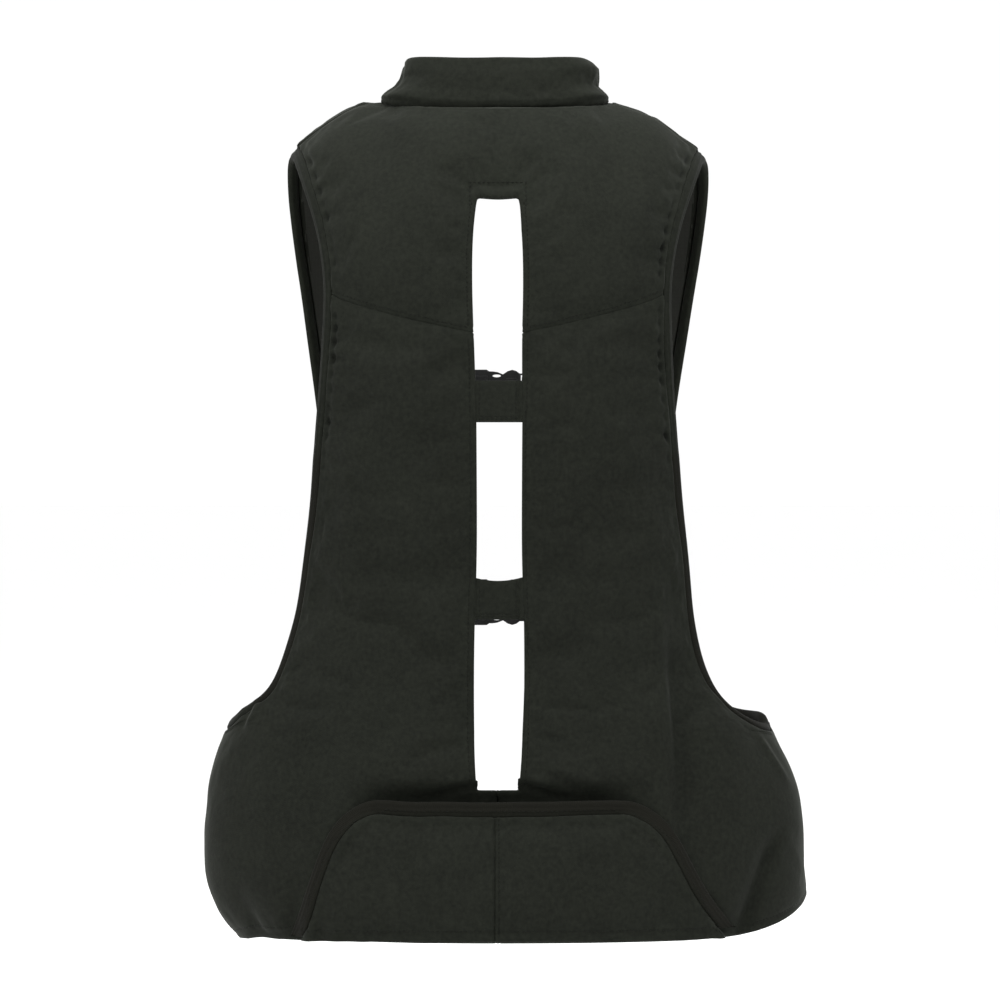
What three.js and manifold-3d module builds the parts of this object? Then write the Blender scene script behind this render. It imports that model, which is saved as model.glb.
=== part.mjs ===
import * as THREE from "three";
import Module from "manifold-3d";
import { mergeVertices } from "three/addons/utils/BufferGeometryUtils.js";

const wasm = await Module();
wasm.setup();

// Sizes in millimetres. The wearer faces +Y, +X is the wearer's right and +Z is up.
// z = 0 is the height where the shoulders carry the vest.
const GAP = 0.3;
const WALL = { full: 13, edge: 6, seam: 10.5, taper: 32 };
const LUMBAR_WALL = { full: 9, edge: 6.5, seam: 6.5, taper: 20 };
const COLLAR_WALL = { full: 8, edge: 5, seam: 6.5, taper: 12 };
const BAND_WALL = { full: 4, edge: 4, seam: 4, taper: 1 };
const WEBBING = { width: 25, thick: 1.6, sewn: 58 };
const ARM_TAPE = { width: 8, depth: 8.5 };
const LUMBAR_TAPE = { width: 9, depth: 9.5 };
const FRONT_HALF_GAP = 42;
const SLOT_TOP = -75.5;
const SECTION_POWER = 2.3;
const SHOULDER_BULGE = 6.5;
const LUMBAR_TOP = -498;
const HEM = { left: -606, right: -571, flatTo: 44, power: 1.7 };
const FRONT_RIM_LIFT = { left: 9, right: 0 };
const BUCKLE_SET_BACK = 4;

// Half widths and depths of the outer skin, by height.
const TORSO = [
  { z: -100, left: 167, right: 167, back: 105, front: 97 },
  { z: -150, left: 165, right: 164, back: 111, front: 108 },
  { z: -216, left: 164.5, right: 161.5, back: 111, front: 114 },
  { z: -300, left: 158.5, right: 156, back: 104, front: 110 },
  { z: -345, left: 159.5, right: 156, back: 100, front: 106 },
  { z: -394, left: 171.5, right: 163, back: 99, front: 105 },
  { z: -420, left: 182.5, right: 174, back: 100, front: 107 },
  { z: -446, left: 197, right: 196.5, back: 102, front: 110 },
  { z: -475, left: 207, right: 210, back: 105, front: 113 },
  { z: -505, left: 211, right: 219, back: 108, front: 116 },
  { z: -530, left: 213, right: 221, back: 112, front: 118 },
  { z: -565, left: 210, right: 221.5, back: 116, front: 120 },
  { z: -600, left: 190, right: 219, back: 118, front: 120 },
];

// Rows of the back panels from the yoke seam to the hem: height and turn from the centre back of
// the outer end, and height of the inner end. The rim of the hip wing is where the turn runs to 90.
const BACK_ROWS = [
  { outer: -144, turn: 46, inner: -172 },
  { outer: -180, turn: 47.3, inner: -206 },
  { outer: -216, turn: 49, inner: -240 },
  { outer: -258, turn: 53, inner: -279 },
  { outer: -300, turn: 57.2, inner: -318 },
  { outer: -345, turn: 61.4, inner: -359 },
  { outer: -384, turn: 63, inner: -396 },
  { outer: -414, turn: 63.3, inner: -431 },
  { outer: -432, turn: 65, inner: -456 },
  { outer: -443, turn: 74, inner: -477 },
  { outer: -446.5, turn: 90, inner: -489.5 },
  { outer: -478, turn: 90, inner: -514 },
  { outer: -510, turn: 90, inner: -540 },
  { outer: -542, turn: 90, inner: -567 },
  { outer: -571, turn: 90, inner: -593 },
];
const RIM_ROW = 10;

// The same for the front panels, with the turn counted from the centre front.
const FRONT_ROWS = [
  { outer: -144, turn: 60.5, inner: -150 },
  { outer: -180, turn: 57.3, inner: -186 },
  { outer: -216, turn: 54, inner: -222 },
  { outer: -258, turn: 52.3, inner: -262 },
  { outer: -300, turn: 52.5, inner: -302 },
  { outer: -345, turn: 56, inner: -344 },
  { outer: -384, turn: 58, inner: -384 },
  { outer: -414, turn: 58.5, inner: -420 },
  { outer: -432, turn: 63, inner: -450 },
  { outer: -443, turn: 73, inner: -473 },
  { outer: -446.5, turn: 90, inner: -489 },
  { outer: -478, turn: 90, inner: -499 },
  { outer: -510, turn: 90, inner: -510 },
  { outer: -542, turn: 90, inner: -522 },
  { outer: -571, turn: 90, inner: -535 },
];

// Half width of the slot down the centre back.
const SLOT = [
  { z: -75.5, half: 14.2 },
  { z: -90, half: 16.2 },
  { z: -112, half: 17.8 },
  { z: -140, half: 18.3 },
  { z: -184, half: 17.3 },
  { z: -240, half: 16.5 },
  { z: -320, half: 16.2 },
  { z: -365, half: 17.4 },
  { z: -413, half: 18.1 },
  { z: -450, half: 17.8 },
  { z: -470, half: 17 },
  { z: -489.5, half: 15.4 },
];

// Neck edge from the centre back to the side of the neck, and on to the centre front.
const NECK_BACK = [
  { x: 0, y: -64, z: -8 },
  { x: 22, y: -62, z: -8 },
  { x: 42, y: -55, z: -7 },
  { x: 60, y: -42, z: -5 },
  { x: 73, y: -25, z: -2 },
  { x: 80, y: -6, z: 1 },
];
const NECK_FRONT = [
  { x: 80, y: -6, z: 1 },
  { x: 79.5, y: 18, z: -10 },
  { x: 68, y: 46, z: -34 },
  { x: 43, y: 70, z: -62 },
];
// Shoulder ridge from the neck to the tip.
const SHOULDER = [
  { x: 80, y: -6, left: 1, right: 1 },
  { x: 94, y: -6, left: 0, right: -3 },
  { x: 107, y: -6, left: -6, right: -9.5 },
  { x: 126, y: -6, left: -18.5, right: -22 },
  { x: 141, y: -5, left: -29.5, right: -32.5 },
  { x: 150.5, y: -4, left: -38, right: -40 },
];
// Way in which the cloth runs up into its top edge.
const RUN = {
  neckBack: [0, 0.62, 0.78],
  neckSide: [-0.1, 0.93, 0.36],
  shoulderTip: [0.1, 0.95, 0.3],
  neckFront: [0, -0.35, 0.93],
};

// Collar stand: 0 at the centre back, 1 at the side of the neck, 2 at the front end.
const COLLAR = [
  { at: 0, height: 33, lean: 4 },
  { at: 0.5, height: 33, lean: 4 },
  { at: 0.82, height: 31, lean: 7 },
  { at: 1, height: 26.5, lean: 8.5 },
  { at: 1.35, height: 24, lean: 6 },
  { at: 1.8, height: 24, lean: 6 },
  { at: 1.95, height: 21, lean: 5 },
  { at: 2, height: 15, lean: 4 },
];

// Half widths of the lumbar patch, from its top edge (0) to the hem (1).
const LUMBAR = [
  { at: 0, left: 90, right: 89 },
  { at: 0.03, left: 101, right: 98 },
  { at: 0.1, left: 111.5, right: 109.5 },
  { at: 0.2, left: 120, right: 119.5 },
  { at: 0.35, left: 128, right: 128 },
  { at: 0.55, left: 134.5, right: 137 },
  { at: 0.76, left: 141, right: 149 },
  { at: 0.9, left: 148, right: 160 },
  { at: 1, left: 153, right: 166 },
];

// Bands across the slot.
const BRIDGES = [
  { name: "bridge_upper", top: -205, bottom: -234, sag: 0 },
  { name: "bridge_lower", top: -341.5, bottom: -371.5, sag: 3 },
];

// Soft folds of the back panels: a line from (x0, z0) to (x1, z1), pressed in by depth.
const FOLDS = [
  { x0: -95, z0: -495, x1: 95, z1: -495, depth: 6, width: 11 },
  { x0: 130, z0: -440, x1: 138, z1: -540, depth: 3, width: 18 },
  { x0: 194, z0: -545, x1: 168, z1: -590, depth: 4, width: 15 },
  { x0: -184, z0: -570, x1: -168, z1: -594, depth: 3, width: 14 },
];

const STRAPS = [
  { name: "upper", z: -207.8 },
  { name: "lower", z: -364 },
];
// Upper edge of the fastened buckle from the socket end to the plug end.
const BUCKLE_EDGE = [
  { x: -22, z: 16 },
  { x: -20.5, z: 17 },
  { x: -8.5, z: 17 },
  { x: -6.6, z: 15.7 },
  { x: -4.2, z: 15.7 },
  { x: -0.5, z: 15.2 },
  { x: 3.7, z: 13.5 },
  { x: 7, z: 15.8 },
  { x: 10.5, z: 16.9 },
  { x: 13.6, z: 16 },
  { x: 16, z: 14.2 },
];
const BUCKLE = {
  thick: 8,
  frameThick: 4,
  socketEnd: -31,
  plugEnd: 30.4,
  bar: 2.8,
  frameHalf: 14.2,
  windowHalf: 13,
};
const BUCKLE_HOLE = { x: -1, z: 12.4, rx: 3.2, rz: 1.1 };

// Steps of the meshes along and across the pieces.
const STEPS = {
  back: 28,
  backAcross: 14,
  strip: 2,
  front: 10,
  rim: 5,
  wing: 6,
  frontAcross: 9,
  arch: 7,
  yokeLow: 5,
  yokeHigh: 5,
  yokeAcross: 10,
  collar: 30,
  collarEnd: 3,
  collarHeight: 3,
  lumbarAcross: 16,
  lumbarTape: 12,
};

const COLOURS = {
  cloth: { color: 0x2b2d28, roughness: 0.88, metalness: 0 },
  tape: { color: 0x1f1f1e, roughness: 0.8, metalness: 0 },
  webbing: { color: 0x20211f, roughness: 0.75, metalness: 0 },
  plastic: { color: 0x1b1c1a, roughness: 0.45, metalness: 0 },
};

const vest = new THREE.Group();
const { lerp, clamp, smoothstep, degToRad, radToDeg } = THREE.MathUtils;
const vector = (p) => new THREE.Vector3(p.x, p.y, p.z);
const mirrored = (p, side) => new THREE.Vector3(p.x * side, p.y, p.z);

// Smooth reading of one column of a table, without overshoot.
function column(rows, key, name) {
  const sorted = [...rows].sort((a, b) => a[key] - b[key]);
  const xs = sorted.map((row) => row[key]);
  const ys = sorted.map((row) => row[name]);
  const slopes = xs.map((x, i) => {
    if (i === 0 || i === xs.length - 1) return 0;
    const before = (ys[i] - ys[i - 1]) / (x - xs[i - 1]);
    const after = (ys[i + 1] - ys[i]) / (xs[i + 1] - x);
    if (before * after <= 0) return 0;
    return (2 * before * after) / (before + after);
  });
  const last = xs.length - 1;
  slopes[0] = (ys[1] - ys[0]) / (xs[1] - xs[0]);
  slopes[last] = (ys[last] - ys[last - 1]) / (xs[last] - xs[last - 1]);
  return (x) => {
    if (x <= xs[0]) return ys[0] + (x - xs[0]) * slopes[0];
    if (x >= xs[last]) return ys[last] + (x - xs[last]) * slopes[last];
    const i = xs.findIndex((value) => value > x) - 1;
    const width = xs[i + 1] - xs[i];
    const t = (x - xs[i]) / width;
    const a = (1 + 2 * t) * (1 - t) * (1 - t);
    const b = t * (1 - t) * (1 - t) * width;
    const c = t * t * (3 - 2 * t);
    const d = t * t * (t - 1) * width;
    return a * ys[i] + b * slopes[i] + c * ys[i + 1] + d * slopes[i + 1];
  };
}

const numbered = (rows) => rows.map((row, index) => ({ ...row, index }));
const halfLeft = column(TORSO, "z", "left");
const halfRight = column(TORSO, "z", "right");
const depthBack = column(TORSO, "z", "back");
const depthFront = column(TORSO, "z", "front");
const slotHalf = column(SLOT, "z", "half");

// Skin of the torso: turn 0 is the centre back, 90 the side and 180 the centre front.
function torso(side, turn, z) {
  const angle = degToRad(turn);
  const power = 2 / SECTION_POWER;
  const half = side < 0 ? halfLeft(z) : halfRight(z);
  const depth = turn < 90 ? depthBack(z) : depthFront(z);
  const across = Math.sign(Math.sin(angle)) * Math.abs(Math.sin(angle)) ** power;
  const along = Math.sign(Math.cos(angle)) * Math.abs(Math.cos(angle)) ** power;
  return new THREE.Vector3(side * half * across, -depth * along, z);
}

function turnAt(side, x, z) {
  const half = side < 0 ? halfLeft(z) : halfRight(z);
  return radToDeg(Math.asin(clamp(Math.abs(x) / half, 0, 1) ** (SECTION_POWER / 2)));
}

function bezier(p0, p1, p2, p3, t) {
  const s = 1 - t;
  const point = p0.clone().multiplyScalar(s * s * s);
  point.addScaledVector(p1, 3 * s * s * t);
  point.addScaledVector(p2, 3 * s * t * t);
  return point.addScaledVector(p3, t * t * t);
}

const smoothLine = (points) => new THREE.CatmullRomCurve3(points.map(vector), false, "centripetal");
const neckBackLine = smoothLine([
  ...NECK_BACK.slice(1).reverse().map((p) => ({ x: -p.x, y: p.y, z: p.z })),
  ...NECK_BACK,
]);
const neckFrontLine = smoothLine(NECK_FRONT);
const shoulderLines = ["left", "right"].map((name) => {
  return smoothLine(SHOULDER.map((p) => ({ ...p, z: p[name] })));
});
const neckBackAt = (f, side) => mirrored(neckBackLine.getPointAt(0.5 + clamp(f, 0, 1) / 2), side);
const neckFrontAt = (f, side) => mirrored(neckFrontLine.getPointAt(clamp(f, 0, 1)), side);
const shoulderAt = (f, side) => {
  const line = shoulderLines[side < 0 ? 0 : 1];
  return mirrored(line.getPointAt(clamp(f, 0, 1)), side);
};
const runBetween = (from, to, f, side) => {
  const way = new THREE.Vector3(...RUN[from]).lerp(new THREE.Vector3(...RUN[to]), f);
  return way.setX(way.x * side).normalize();
};

// Share of the neck line that lies over the strip beside the centre line.
const STRIP_SHARE = 0.125;
// Reach of the curve handles when cloth runs over a shoulder, as a share of its span.
const ARCH_REACH = 0.38;
// Small steps for slopes.
const PROBE = 0.004;
const SLACK = 1e-6;

// Top edge of the yoke: c from -1 at the centre over 0 at the slot edge to 1 at the shoulder tip.
function yokeTop(c, side) {
  if (c < 0.5) {
    const f = c < 0 ? (c + 1) * STRIP_SHARE : lerp(STRIP_SHARE, 1, c * 2);
    return { point: neckBackAt(f, side), run: runBetween("neckBack", "neckSide", f, side) };
  }
  const f = c * 2 - 1;
  return { point: shoulderAt(f, side), run: runBetween("neckSide", "shoulderTip", f, side) };
}

const NECK_SHARE = 4 / STEPS.frontAcross;

// Top edge of a front panel: c from 0 at the centre front to 1 at the shoulder tip.
function frontTop(c, side) {
  if (c < NECK_SHARE) {
    const f = c / NECK_SHARE;
    const run = new THREE.Vector3(...RUN.neckFront);
    const end = runBetween("neckSide", "shoulderTip", 0, side).negate();
    run.setX(run.x * side).lerp(end, f * f).normalize();
    return { point: neckFrontAt(1 - f, side), run };
  }
  const f = (c - NECK_SHARE) / (1 - NECK_SHARE);
  return { point: shoulderAt(f, side), run: runBetween("neckSide", "shoulderTip", f, side).negate() };
}

// Cloth from a point of the torso up and over to a top edge.
function arch(side, turn, z, top, bulge, b) {
  const start = torso(side, turn, z);
  const rise = torso(side, turn, z + 4).sub(start).normalize();
  const reach = ARCH_REACH * start.distanceTo(top.point);
  const first = start.clone().addScaledVector(rise, reach);
  const second = top.point.clone().addScaledVector(top.run, -reach);
  first.x += side * bulge;
  second.x += side * bulge;
  return bezier(start, first, second, top.point, b);
}

const hemScale = (side) => {
  const low = side < 0 ? HEM.left : HEM.right;
  return (low - BACK_ROWS[RIM_ROW].outer) / (BACK_ROWS.at(-1).outer - BACK_ROWS[RIM_ROW].outer);
};

function rowReader(rows) {
  const list = numbered(rows);
  const outer = column(list, "index", "outer");
  const turn = column(list, "index", "turn");
  const inner = column(list, "index", "inner");
  return (r, side) => {
    let low = outer(r);
    const rim = rows[RIM_ROW].outer;
    if (low < rim) low = rim + (low - rim) * hemScale(side);
    return { outer: low, turn: r >= RIM_ROW ? 90 : turn(r), inner: inner(r) };
  };
}
const backRow = rowReader(BACK_ROWS);
const frontRowFlat = rowReader(FRONT_ROWS);
function frontRow(r, side) {
  const row = frontRowFlat(r, side);
  const lift = side < 0 ? FRONT_RIM_LIFT.left : FRONT_RIM_LIFT.right;
  const share = smoothstep(r, 5, 8.5) * (1 - smoothstep(r, 8.5, RIM_ROW));
  return { ...row, outer: row.outer + lift * share };
}

function foldDepth(point) {
  let total = 0;
  for (const fold of FOLDS) {
    const dx = fold.x1 - fold.x0;
    const dz = fold.z1 - fold.z0;
    const along = clamp(((point.x - fold.x0) * dx + (point.z - fold.z0) * dz) / (dx * dx + dz * dz), 0, 1);
    const away = Math.hypot(point.x - fold.x0 - along * dx, point.z - fold.z0 - along * dz);
    total += fold.depth * Math.exp(-((away / fold.width) ** 2) * 2);
  }
  return total;
}

// Skins of the pieces. c runs across from the inner edge (0) to the armhole edge (1), and from -1 to
// 0 over the strip between the centre line and the slot edge.
const hemRise = (turn) => clamp((turn - HEM.flatTo) / (90 - HEM.flatTo), 0, 1) ** HEM.power;
function backPlace(side, c, r) {
  const row = backRow(r, side);
  const slotTurn = turnAt(side, slotHalf(Math.max(row.inner, SLOT.at(-1).z)), row.inner);
  if (c < 0) return { turn: lerp(0, slotTurn, c + 1), z: row.inner };
  const turn = lerp(slotTurn, row.turn, c);
  const low = clamp((r - RIM_ROW) / (BACK_ROWS.length - 1 - RIM_ROW), 0, 1);
  return { turn, z: lerp(row.inner, row.outer, lerp(c, hemRise(turn), low)) };
}
function backSkin(side, c, r) {
  const place = backPlace(side, c, r);
  return torso(side, place.turn, place.z);
}
function yokeSkin(side, c, b) {
  const place = backPlace(side, c, 0);
  return arch(side, place.turn, place.z, yokeTop(c, side), 0, b);
}
function frontSkin(side, c, r) {
  const row = frontRow(Math.max(r, 0), side);
  const near = turnAt(side, FRONT_HALF_GAP, row.inner);
  const turn = 180 - lerp(near, row.turn, c);
  const z = lerp(row.inner, row.outer, c);
  if (r >= 0) return torso(side, turn, z);
  return arch(side, turn, z, frontTop(c, side), SHOULDER_BULGE * c * c, -r);
}

// Unit normal of a skin at (u, v), turned away from the body.
function normalOf(skin, u, v, away) {
  const du = skin(u + PROBE, v).sub(skin(u - PROBE, v));
  const dv = skin(u, v + PROBE).sub(skin(u, v - PROBE));
  const normal = du.cross(dv).normalize();
  if (normal.dot(away) < 0) normal.negate();
  return normal;
}
const outward = (point) => new THREE.Vector3(point.x, point.y, clamp((point.z + 110) * 1.2, 0, 140));

// Armhole edge of a skin: the point, the normal and the way in to the cloth.
function edgeOf(skin, v) {
  const point = skin(1, v);
  const normal = normalOf(skin, 1, v, outward(point));
  const tangent = skin(1, v + PROBE).sub(skin(1, v - PROBE)).normalize();
  const inward = tangent.cross(normal).normalize();
  if (inward.dot(skin(0.9, v).sub(point)) < 0) inward.negate();
  return { point, normal, inward };
}

// Closed padded wall over a grid of skin points, thinner towards its edges and a little at its seams.
function wallMesh(name, grid, normals, wall, look, { present = () => true, sewn = () => false } = {}) {
  const rows = grid.length - 1;
  const cols = grid[0].length - 1;
  const has = (i, j) => i >= 0 && j >= 0 && i < rows && j < cols && present(i, j);
  const sides = [];
  for (let i = 0; i < rows; i += 1) {
    for (let j = 0; j < cols; j += 1) {
      if (!has(i, j)) continue;
      if (!has(i - 1, j)) sides.push([[i, j], [i, j + 1]]);
      if (!has(i + 1, j)) sides.push([[i + 1, j + 1], [i + 1, j]]);
      if (!has(i, j - 1)) sides.push([[i + 1, j], [i, j]]);
      if (!has(i, j + 1)) sides.push([[i, j + 1], [i + 1, j + 1]]);
    }
  }
  const rim = sides.flat().map(([i, j]) => {
    return { place: grid[i][j], thick: sewn(i, j) ? wall.seam : wall.edge };
  });
  const places = [];
  const index = new Map();
  const vertex = (i, j, layer) => {
    const key = `${i} ${j} ${layer}`;
    if (!index.has(key)) {
      const point = grid[i][j];
      const thick = Math.min(...rim.map((edge) => {
        return lerp(edge.thick, wall.full, smoothstep(edge.place.distanceTo(point), 0, wall.taper));
      }));
      const shift = layer === 0 ? (wall.full - thick) / 2 : (wall.full + thick) / 2;
      index.set(key, places.length);
      places.push(point.clone().addScaledVector(normals[i][j], -shift));
    }
    return index.get(key);
  };
  const triangles = [];
  const quad = (a, b, c, d) => triangles.push(a, b, c, a, c, d);
  for (let i = 0; i < rows; i += 1) {
    for (let j = 0; j < cols; j += 1) {
      if (!has(i, j)) continue;
      const corners = [[i, j], [i + 1, j], [i + 1, j + 1], [i, j + 1]];
      quad(...corners.map(([a, b]) => vertex(a, b, 0)));
      quad(...corners.reverse().map(([a, b]) => vertex(a, b, 1)));
    }
  }
  for (const [a, b] of sides) {
    quad(vertex(...a, 0), vertex(...b, 0), vertex(...b, 1), vertex(...a, 1));
  }
  return addMesh(name, places, triangles, look);
}

// Tape swept along an edge: a rounded section around points set in from the edge.
function tapeMesh(name, edges, tape, wall, look, closed) {
  const half = tape.width / 2;
  const deep = tape.depth / 2;
  const section = [[-1, -0.55], [-1, 0.55], [-0.1, 1], [0.75, 0.7], [1, 0], [0.75, -0.7], [-0.1, -1]];
  const rings = edges.map(({ point, normal, inward }) => {
    const centre = point.clone().addScaledVector(inward, half).addScaledVector(normal, -wall.full / 2);
    return section.map(([a, b]) => {
      return centre.clone().addScaledVector(inward, -a * half).addScaledVector(normal, b * deep);
    });
  });
  const count = section.length;
  const triangles = [];
  const spans = closed ? rings.length : rings.length - 1;
  for (let i = 0; i < spans; i += 1) {
    const next = (i + 1) % rings.length;
    for (let k = 0; k < count; k += 1) {
      const l = (k + 1) % count;
      triangles.push(i * count + k, next * count + k, next * count + l);
      triangles.push(i * count + k, next * count + l, i * count + l);
    }
  }
  if (!closed) {
    const end = (rings.length - 1) * count;
    for (let k = 1; k < count - 1; k += 1) {
      triangles.push(0, k, k + 1);
      triangles.push(end, end + k + 1, end + k);
    }
  }
  return addMesh(name, rings.flat(), triangles, look);
}

function geometryOf(places, triangles) {
  const geometry = new THREE.BufferGeometry();
  const flat = places.flatMap((p) => [p.x, p.y, p.z]);
  geometry.setAttribute("position", new THREE.Float32BufferAttribute(flat, 3));
  geometry.setIndex(triangles);
  return geometry;
}

// Faces are turned to point out when the enclosed volume comes out negative.
function addMesh(name, places, triangles, look) {
  let volume = 0;
  for (let i = 0; i < triangles.length; i += 3) {
    const [a, b, c] = [places[triangles[i]], places[triangles[i + 1]], places[triangles[i + 2]]];
    volume += a.dot(b.clone().cross(c));
  }
  const facing = volume < 0 ? [...triangles].reverse() : triangles;
  const mesh = new THREE.Mesh(geometryOf(places, facing), new THREE.MeshStandardMaterial(COLOURS[look]));
  mesh.name = name;
  vest.add(mesh);
  return mesh;
}

const range = (from, to, steps) => {
  return Array.from({ length: steps + 1 }, (unused, i) => lerp(from, to, i / steps));
};
const SIDES = [
  { side: -1, label: "left" },
  { side: 1, label: "right" },
];

// Moves the points of a row in from the armhole tape, most of all at the edge itself.
function setIn(point, edge, c, distance) {
  if (c <= 0) return point;
  return point.addScaledVector(edge.inward, distance * c ** 5);
}
const tapeRoom = ARM_TAPE.width + 2 * GAP;

// Rows shared by a panel and the tape on its edge.
const backRows = range(0, BACK_ROWS.length - 1, STEPS.back);
const frontRows = [
  ...range(0, RIM_ROW - 2, STEPS.front),
  ...range(RIM_ROW - 2, RIM_ROW, STEPS.rim).slice(1),
  ...range(RIM_ROW, FRONT_ROWS.length - 1, STEPS.wing).slice(1),
];
const archRows = range(-1, 0, STEPS.arch).slice(0, -1);

// Share of the yoke's height at which the slot ends.
function slotShare() {
  let low = 0;
  let high = 1;
  for (let i = 0; i < 40; i += 1) {
    const middle = (low + high) / 2;
    if (yokeSkin(1, 0, middle).z < SLOT_TOP) low = middle;
    else high = middle;
  }
  return low;
}
const slotEnd = slotShare();
const yokeRows = [...range(0, slotEnd, STEPS.yokeLow), ...range(slotEnd, 1, STEPS.yokeHigh).slice(1)];

// Top of the side seam, where the tape passes from the back to the front.
function rimEdge(side) {
  const z = BACK_ROWS[RIM_ROW].outer;
  const point = torso(side, 90, z);
  const inward = torso(side, 90, z - 4).sub(point).normalize();
  const normal = new THREE.Vector3(0, 1, 0).cross(inward).normalize();
  if (normal.x * side < 0) normal.negate();
  return { point, normal, inward };
}
const wingEdge = (skin, side, r) => (r >= RIM_ROW ? rimEdge(side) : edgeOf(skin, r));

// Back panels.
for (const { side, label } of SIDES) {
  const skin = (c, r) => backSkin(side, c, r);
  const across = [...range(-1, 0, STEPS.strip).slice(0, -1), ...range(0, 1, STEPS.backAcross)];
  const firstStrip = backRows.findIndex((r) => r >= RIM_ROW);
  const grid = [];
  const normals = [];
  for (const r of backRows) {
    const edge = wingEdge(skin, side, r);
    const row = across.map((c) => {
      const point = skin(c, r);
      const atRim = c === 1 && r === RIM_ROW;
      const normal = atRim ? edge.normal : normalOf(skin, c, r, outward(point));
      const moved = point.clone();
      if (r <= RIM_ROW) setIn(moved, edge, c, tapeRoom);
      if (r >= RIM_ROW && c === 1) moved.y -= GAP / 2;
      if (r === 0) moved.z -= GAP / 2;
      if (c === -1) moved.x += (side * GAP) / 2;
      moved.addScaledVector(normal, -foldDepth(point));
      return { moved, normal };
    });
    grid.push(row.map((entry) => entry.moved));
    normals.push(row.map((entry) => entry.normal));
  }
  wallMesh(`back_panel_${label}`, grid, normals, WALL, "cloth", {
    present: (i, j) => j >= STEPS.strip || i >= firstStrip,
    sewn: (i, j) => i === 0 || j === 0 || (j === across.length - 1 && i > firstStrip),
  });
}

// Yoke: both shoulders and the upper back in one piece, notched by the slot.
{
  const half = [...range(-1, 0, STEPS.strip), ...range(0, 1, STEPS.yokeAcross).slice(1)];
  const across = [
    ...half.slice(1).reverse().map((c) => ({ side: -1, c })),
    ...half.map((c) => ({ side: 1, c })),
  ];
  const grid = [];
  const normals = [];
  for (const b of yokeRows) {
    const rowPoints = [];
    const rowNormals = [];
    for (const { side, c } of across) {
      const skin = (u, v) => yokeSkin(side, u, v);
      const point = skin(c, b);
      const nearCentre = c === -1 ? -0.995 : c;
      const normal = normalOf(skin, nearCentre, b, outward(point));
      if (c === -1) normal.setX(0).normalize();
      const slotEdge = slotHalf(clamp(point.z, SLOT.at(-1).z, SLOT_TOP));
      if (b <= slotEnd + SLACK) {
        const here = yokeSkin(side, 0, b).x * side;
        const reach = c < 0 ? (point.x * side) / here : 1 - clamp(c / 0.3, 0, 1);
        point.x += side * (slotEdge - here) * reach;
      }
      setIn(point, edgeOf(skin, b), c, tapeRoom);
      if (b === 0) point.z += GAP / 2;
      if (b === 1 && c >= 0.5) point.addScaledVector(yokeTop(c, side).run, -GAP / 2);
      rowPoints.push(point);
      rowNormals.push(normal);
    }
    grid.push(rowPoints);
    normals.push(rowNormals);
  }
  const middle = (across.length - 1) / 2;
  const inSlot = (j) => j >= middle - STEPS.strip && j < middle + STEPS.strip;
  wallMesh("yoke", grid, normals, WALL, "cloth", {
    present: (i, j) => i >= STEPS.yokeLow || !inSlot(j),
    sewn: (i) => i === 0 || i === yokeRows.length - 1,
  });
}

// Front panels, from the shoulder ridge to the hem.
for (const { side, label } of SIDES) {
  const skin = (c, r) => frontSkin(side, c, r);
  const across = range(0, 1, STEPS.frontAcross);
  const grid = [];
  const normals = [];
  for (const r of [...archRows, ...frontRows]) {
    const edge = wingEdge(skin, side, r);
    const row = across.map((c) => {
      const point = skin(c, r);
      const atRim = c === 1 && r === RIM_ROW;
      const normal = atRim ? edge.normal : normalOf(skin, c, r, outward(point));
      if (r <= RIM_ROW) setIn(point, edge, c, tapeRoom);
      if (r >= RIM_ROW && c === 1) point.y += GAP / 2;
      if (r === -1 && c >= NECK_SHARE - SLACK) {
        point.addScaledVector(frontTop(c, side).run, -GAP / 2);
      }
      return { point, normal };
    });
    grid.push(row.map((entry) => entry.point));
    normals.push(row.map((entry) => entry.normal));
  }
  const rimAt = archRows.length + frontRows.indexOf(RIM_ROW);
  wallMesh(`front_panel_${label}`, grid, normals, WALL, "cloth", {
    sewn: (i, j) => i === 0 || (j === across.length - 1 && i > rimAt),
  });
}

// Tape loops round the armholes: down the yoke and the back panel, round the wing, up the front.
for (const { side, label } of SIDES) {
  const yoke = (c, b) => yokeSkin(side, c, b);
  const back = (c, r) => backSkin(side, c, r);
  const front = (c, r) => frontSkin(side, c, r);
  const edges = [
    ...[...yokeRows].reverse().slice(0, -1).map((b) => edgeOf(yoke, b)),
    ...backRows.filter((r) => r <= RIM_ROW).map((r) => wingEdge(back, side, r)),
    ...frontRows.filter((r) => r < RIM_ROW).reverse().map((r) => edgeOf(front, r)),
    ...[...archRows].reverse().slice(0, -1).map((r) => edgeOf(front, r)),
  ];
  tapeMesh(`armhole_binding_${label}`, edges, ARM_TAPE, WALL, "tape", true);
}

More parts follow.
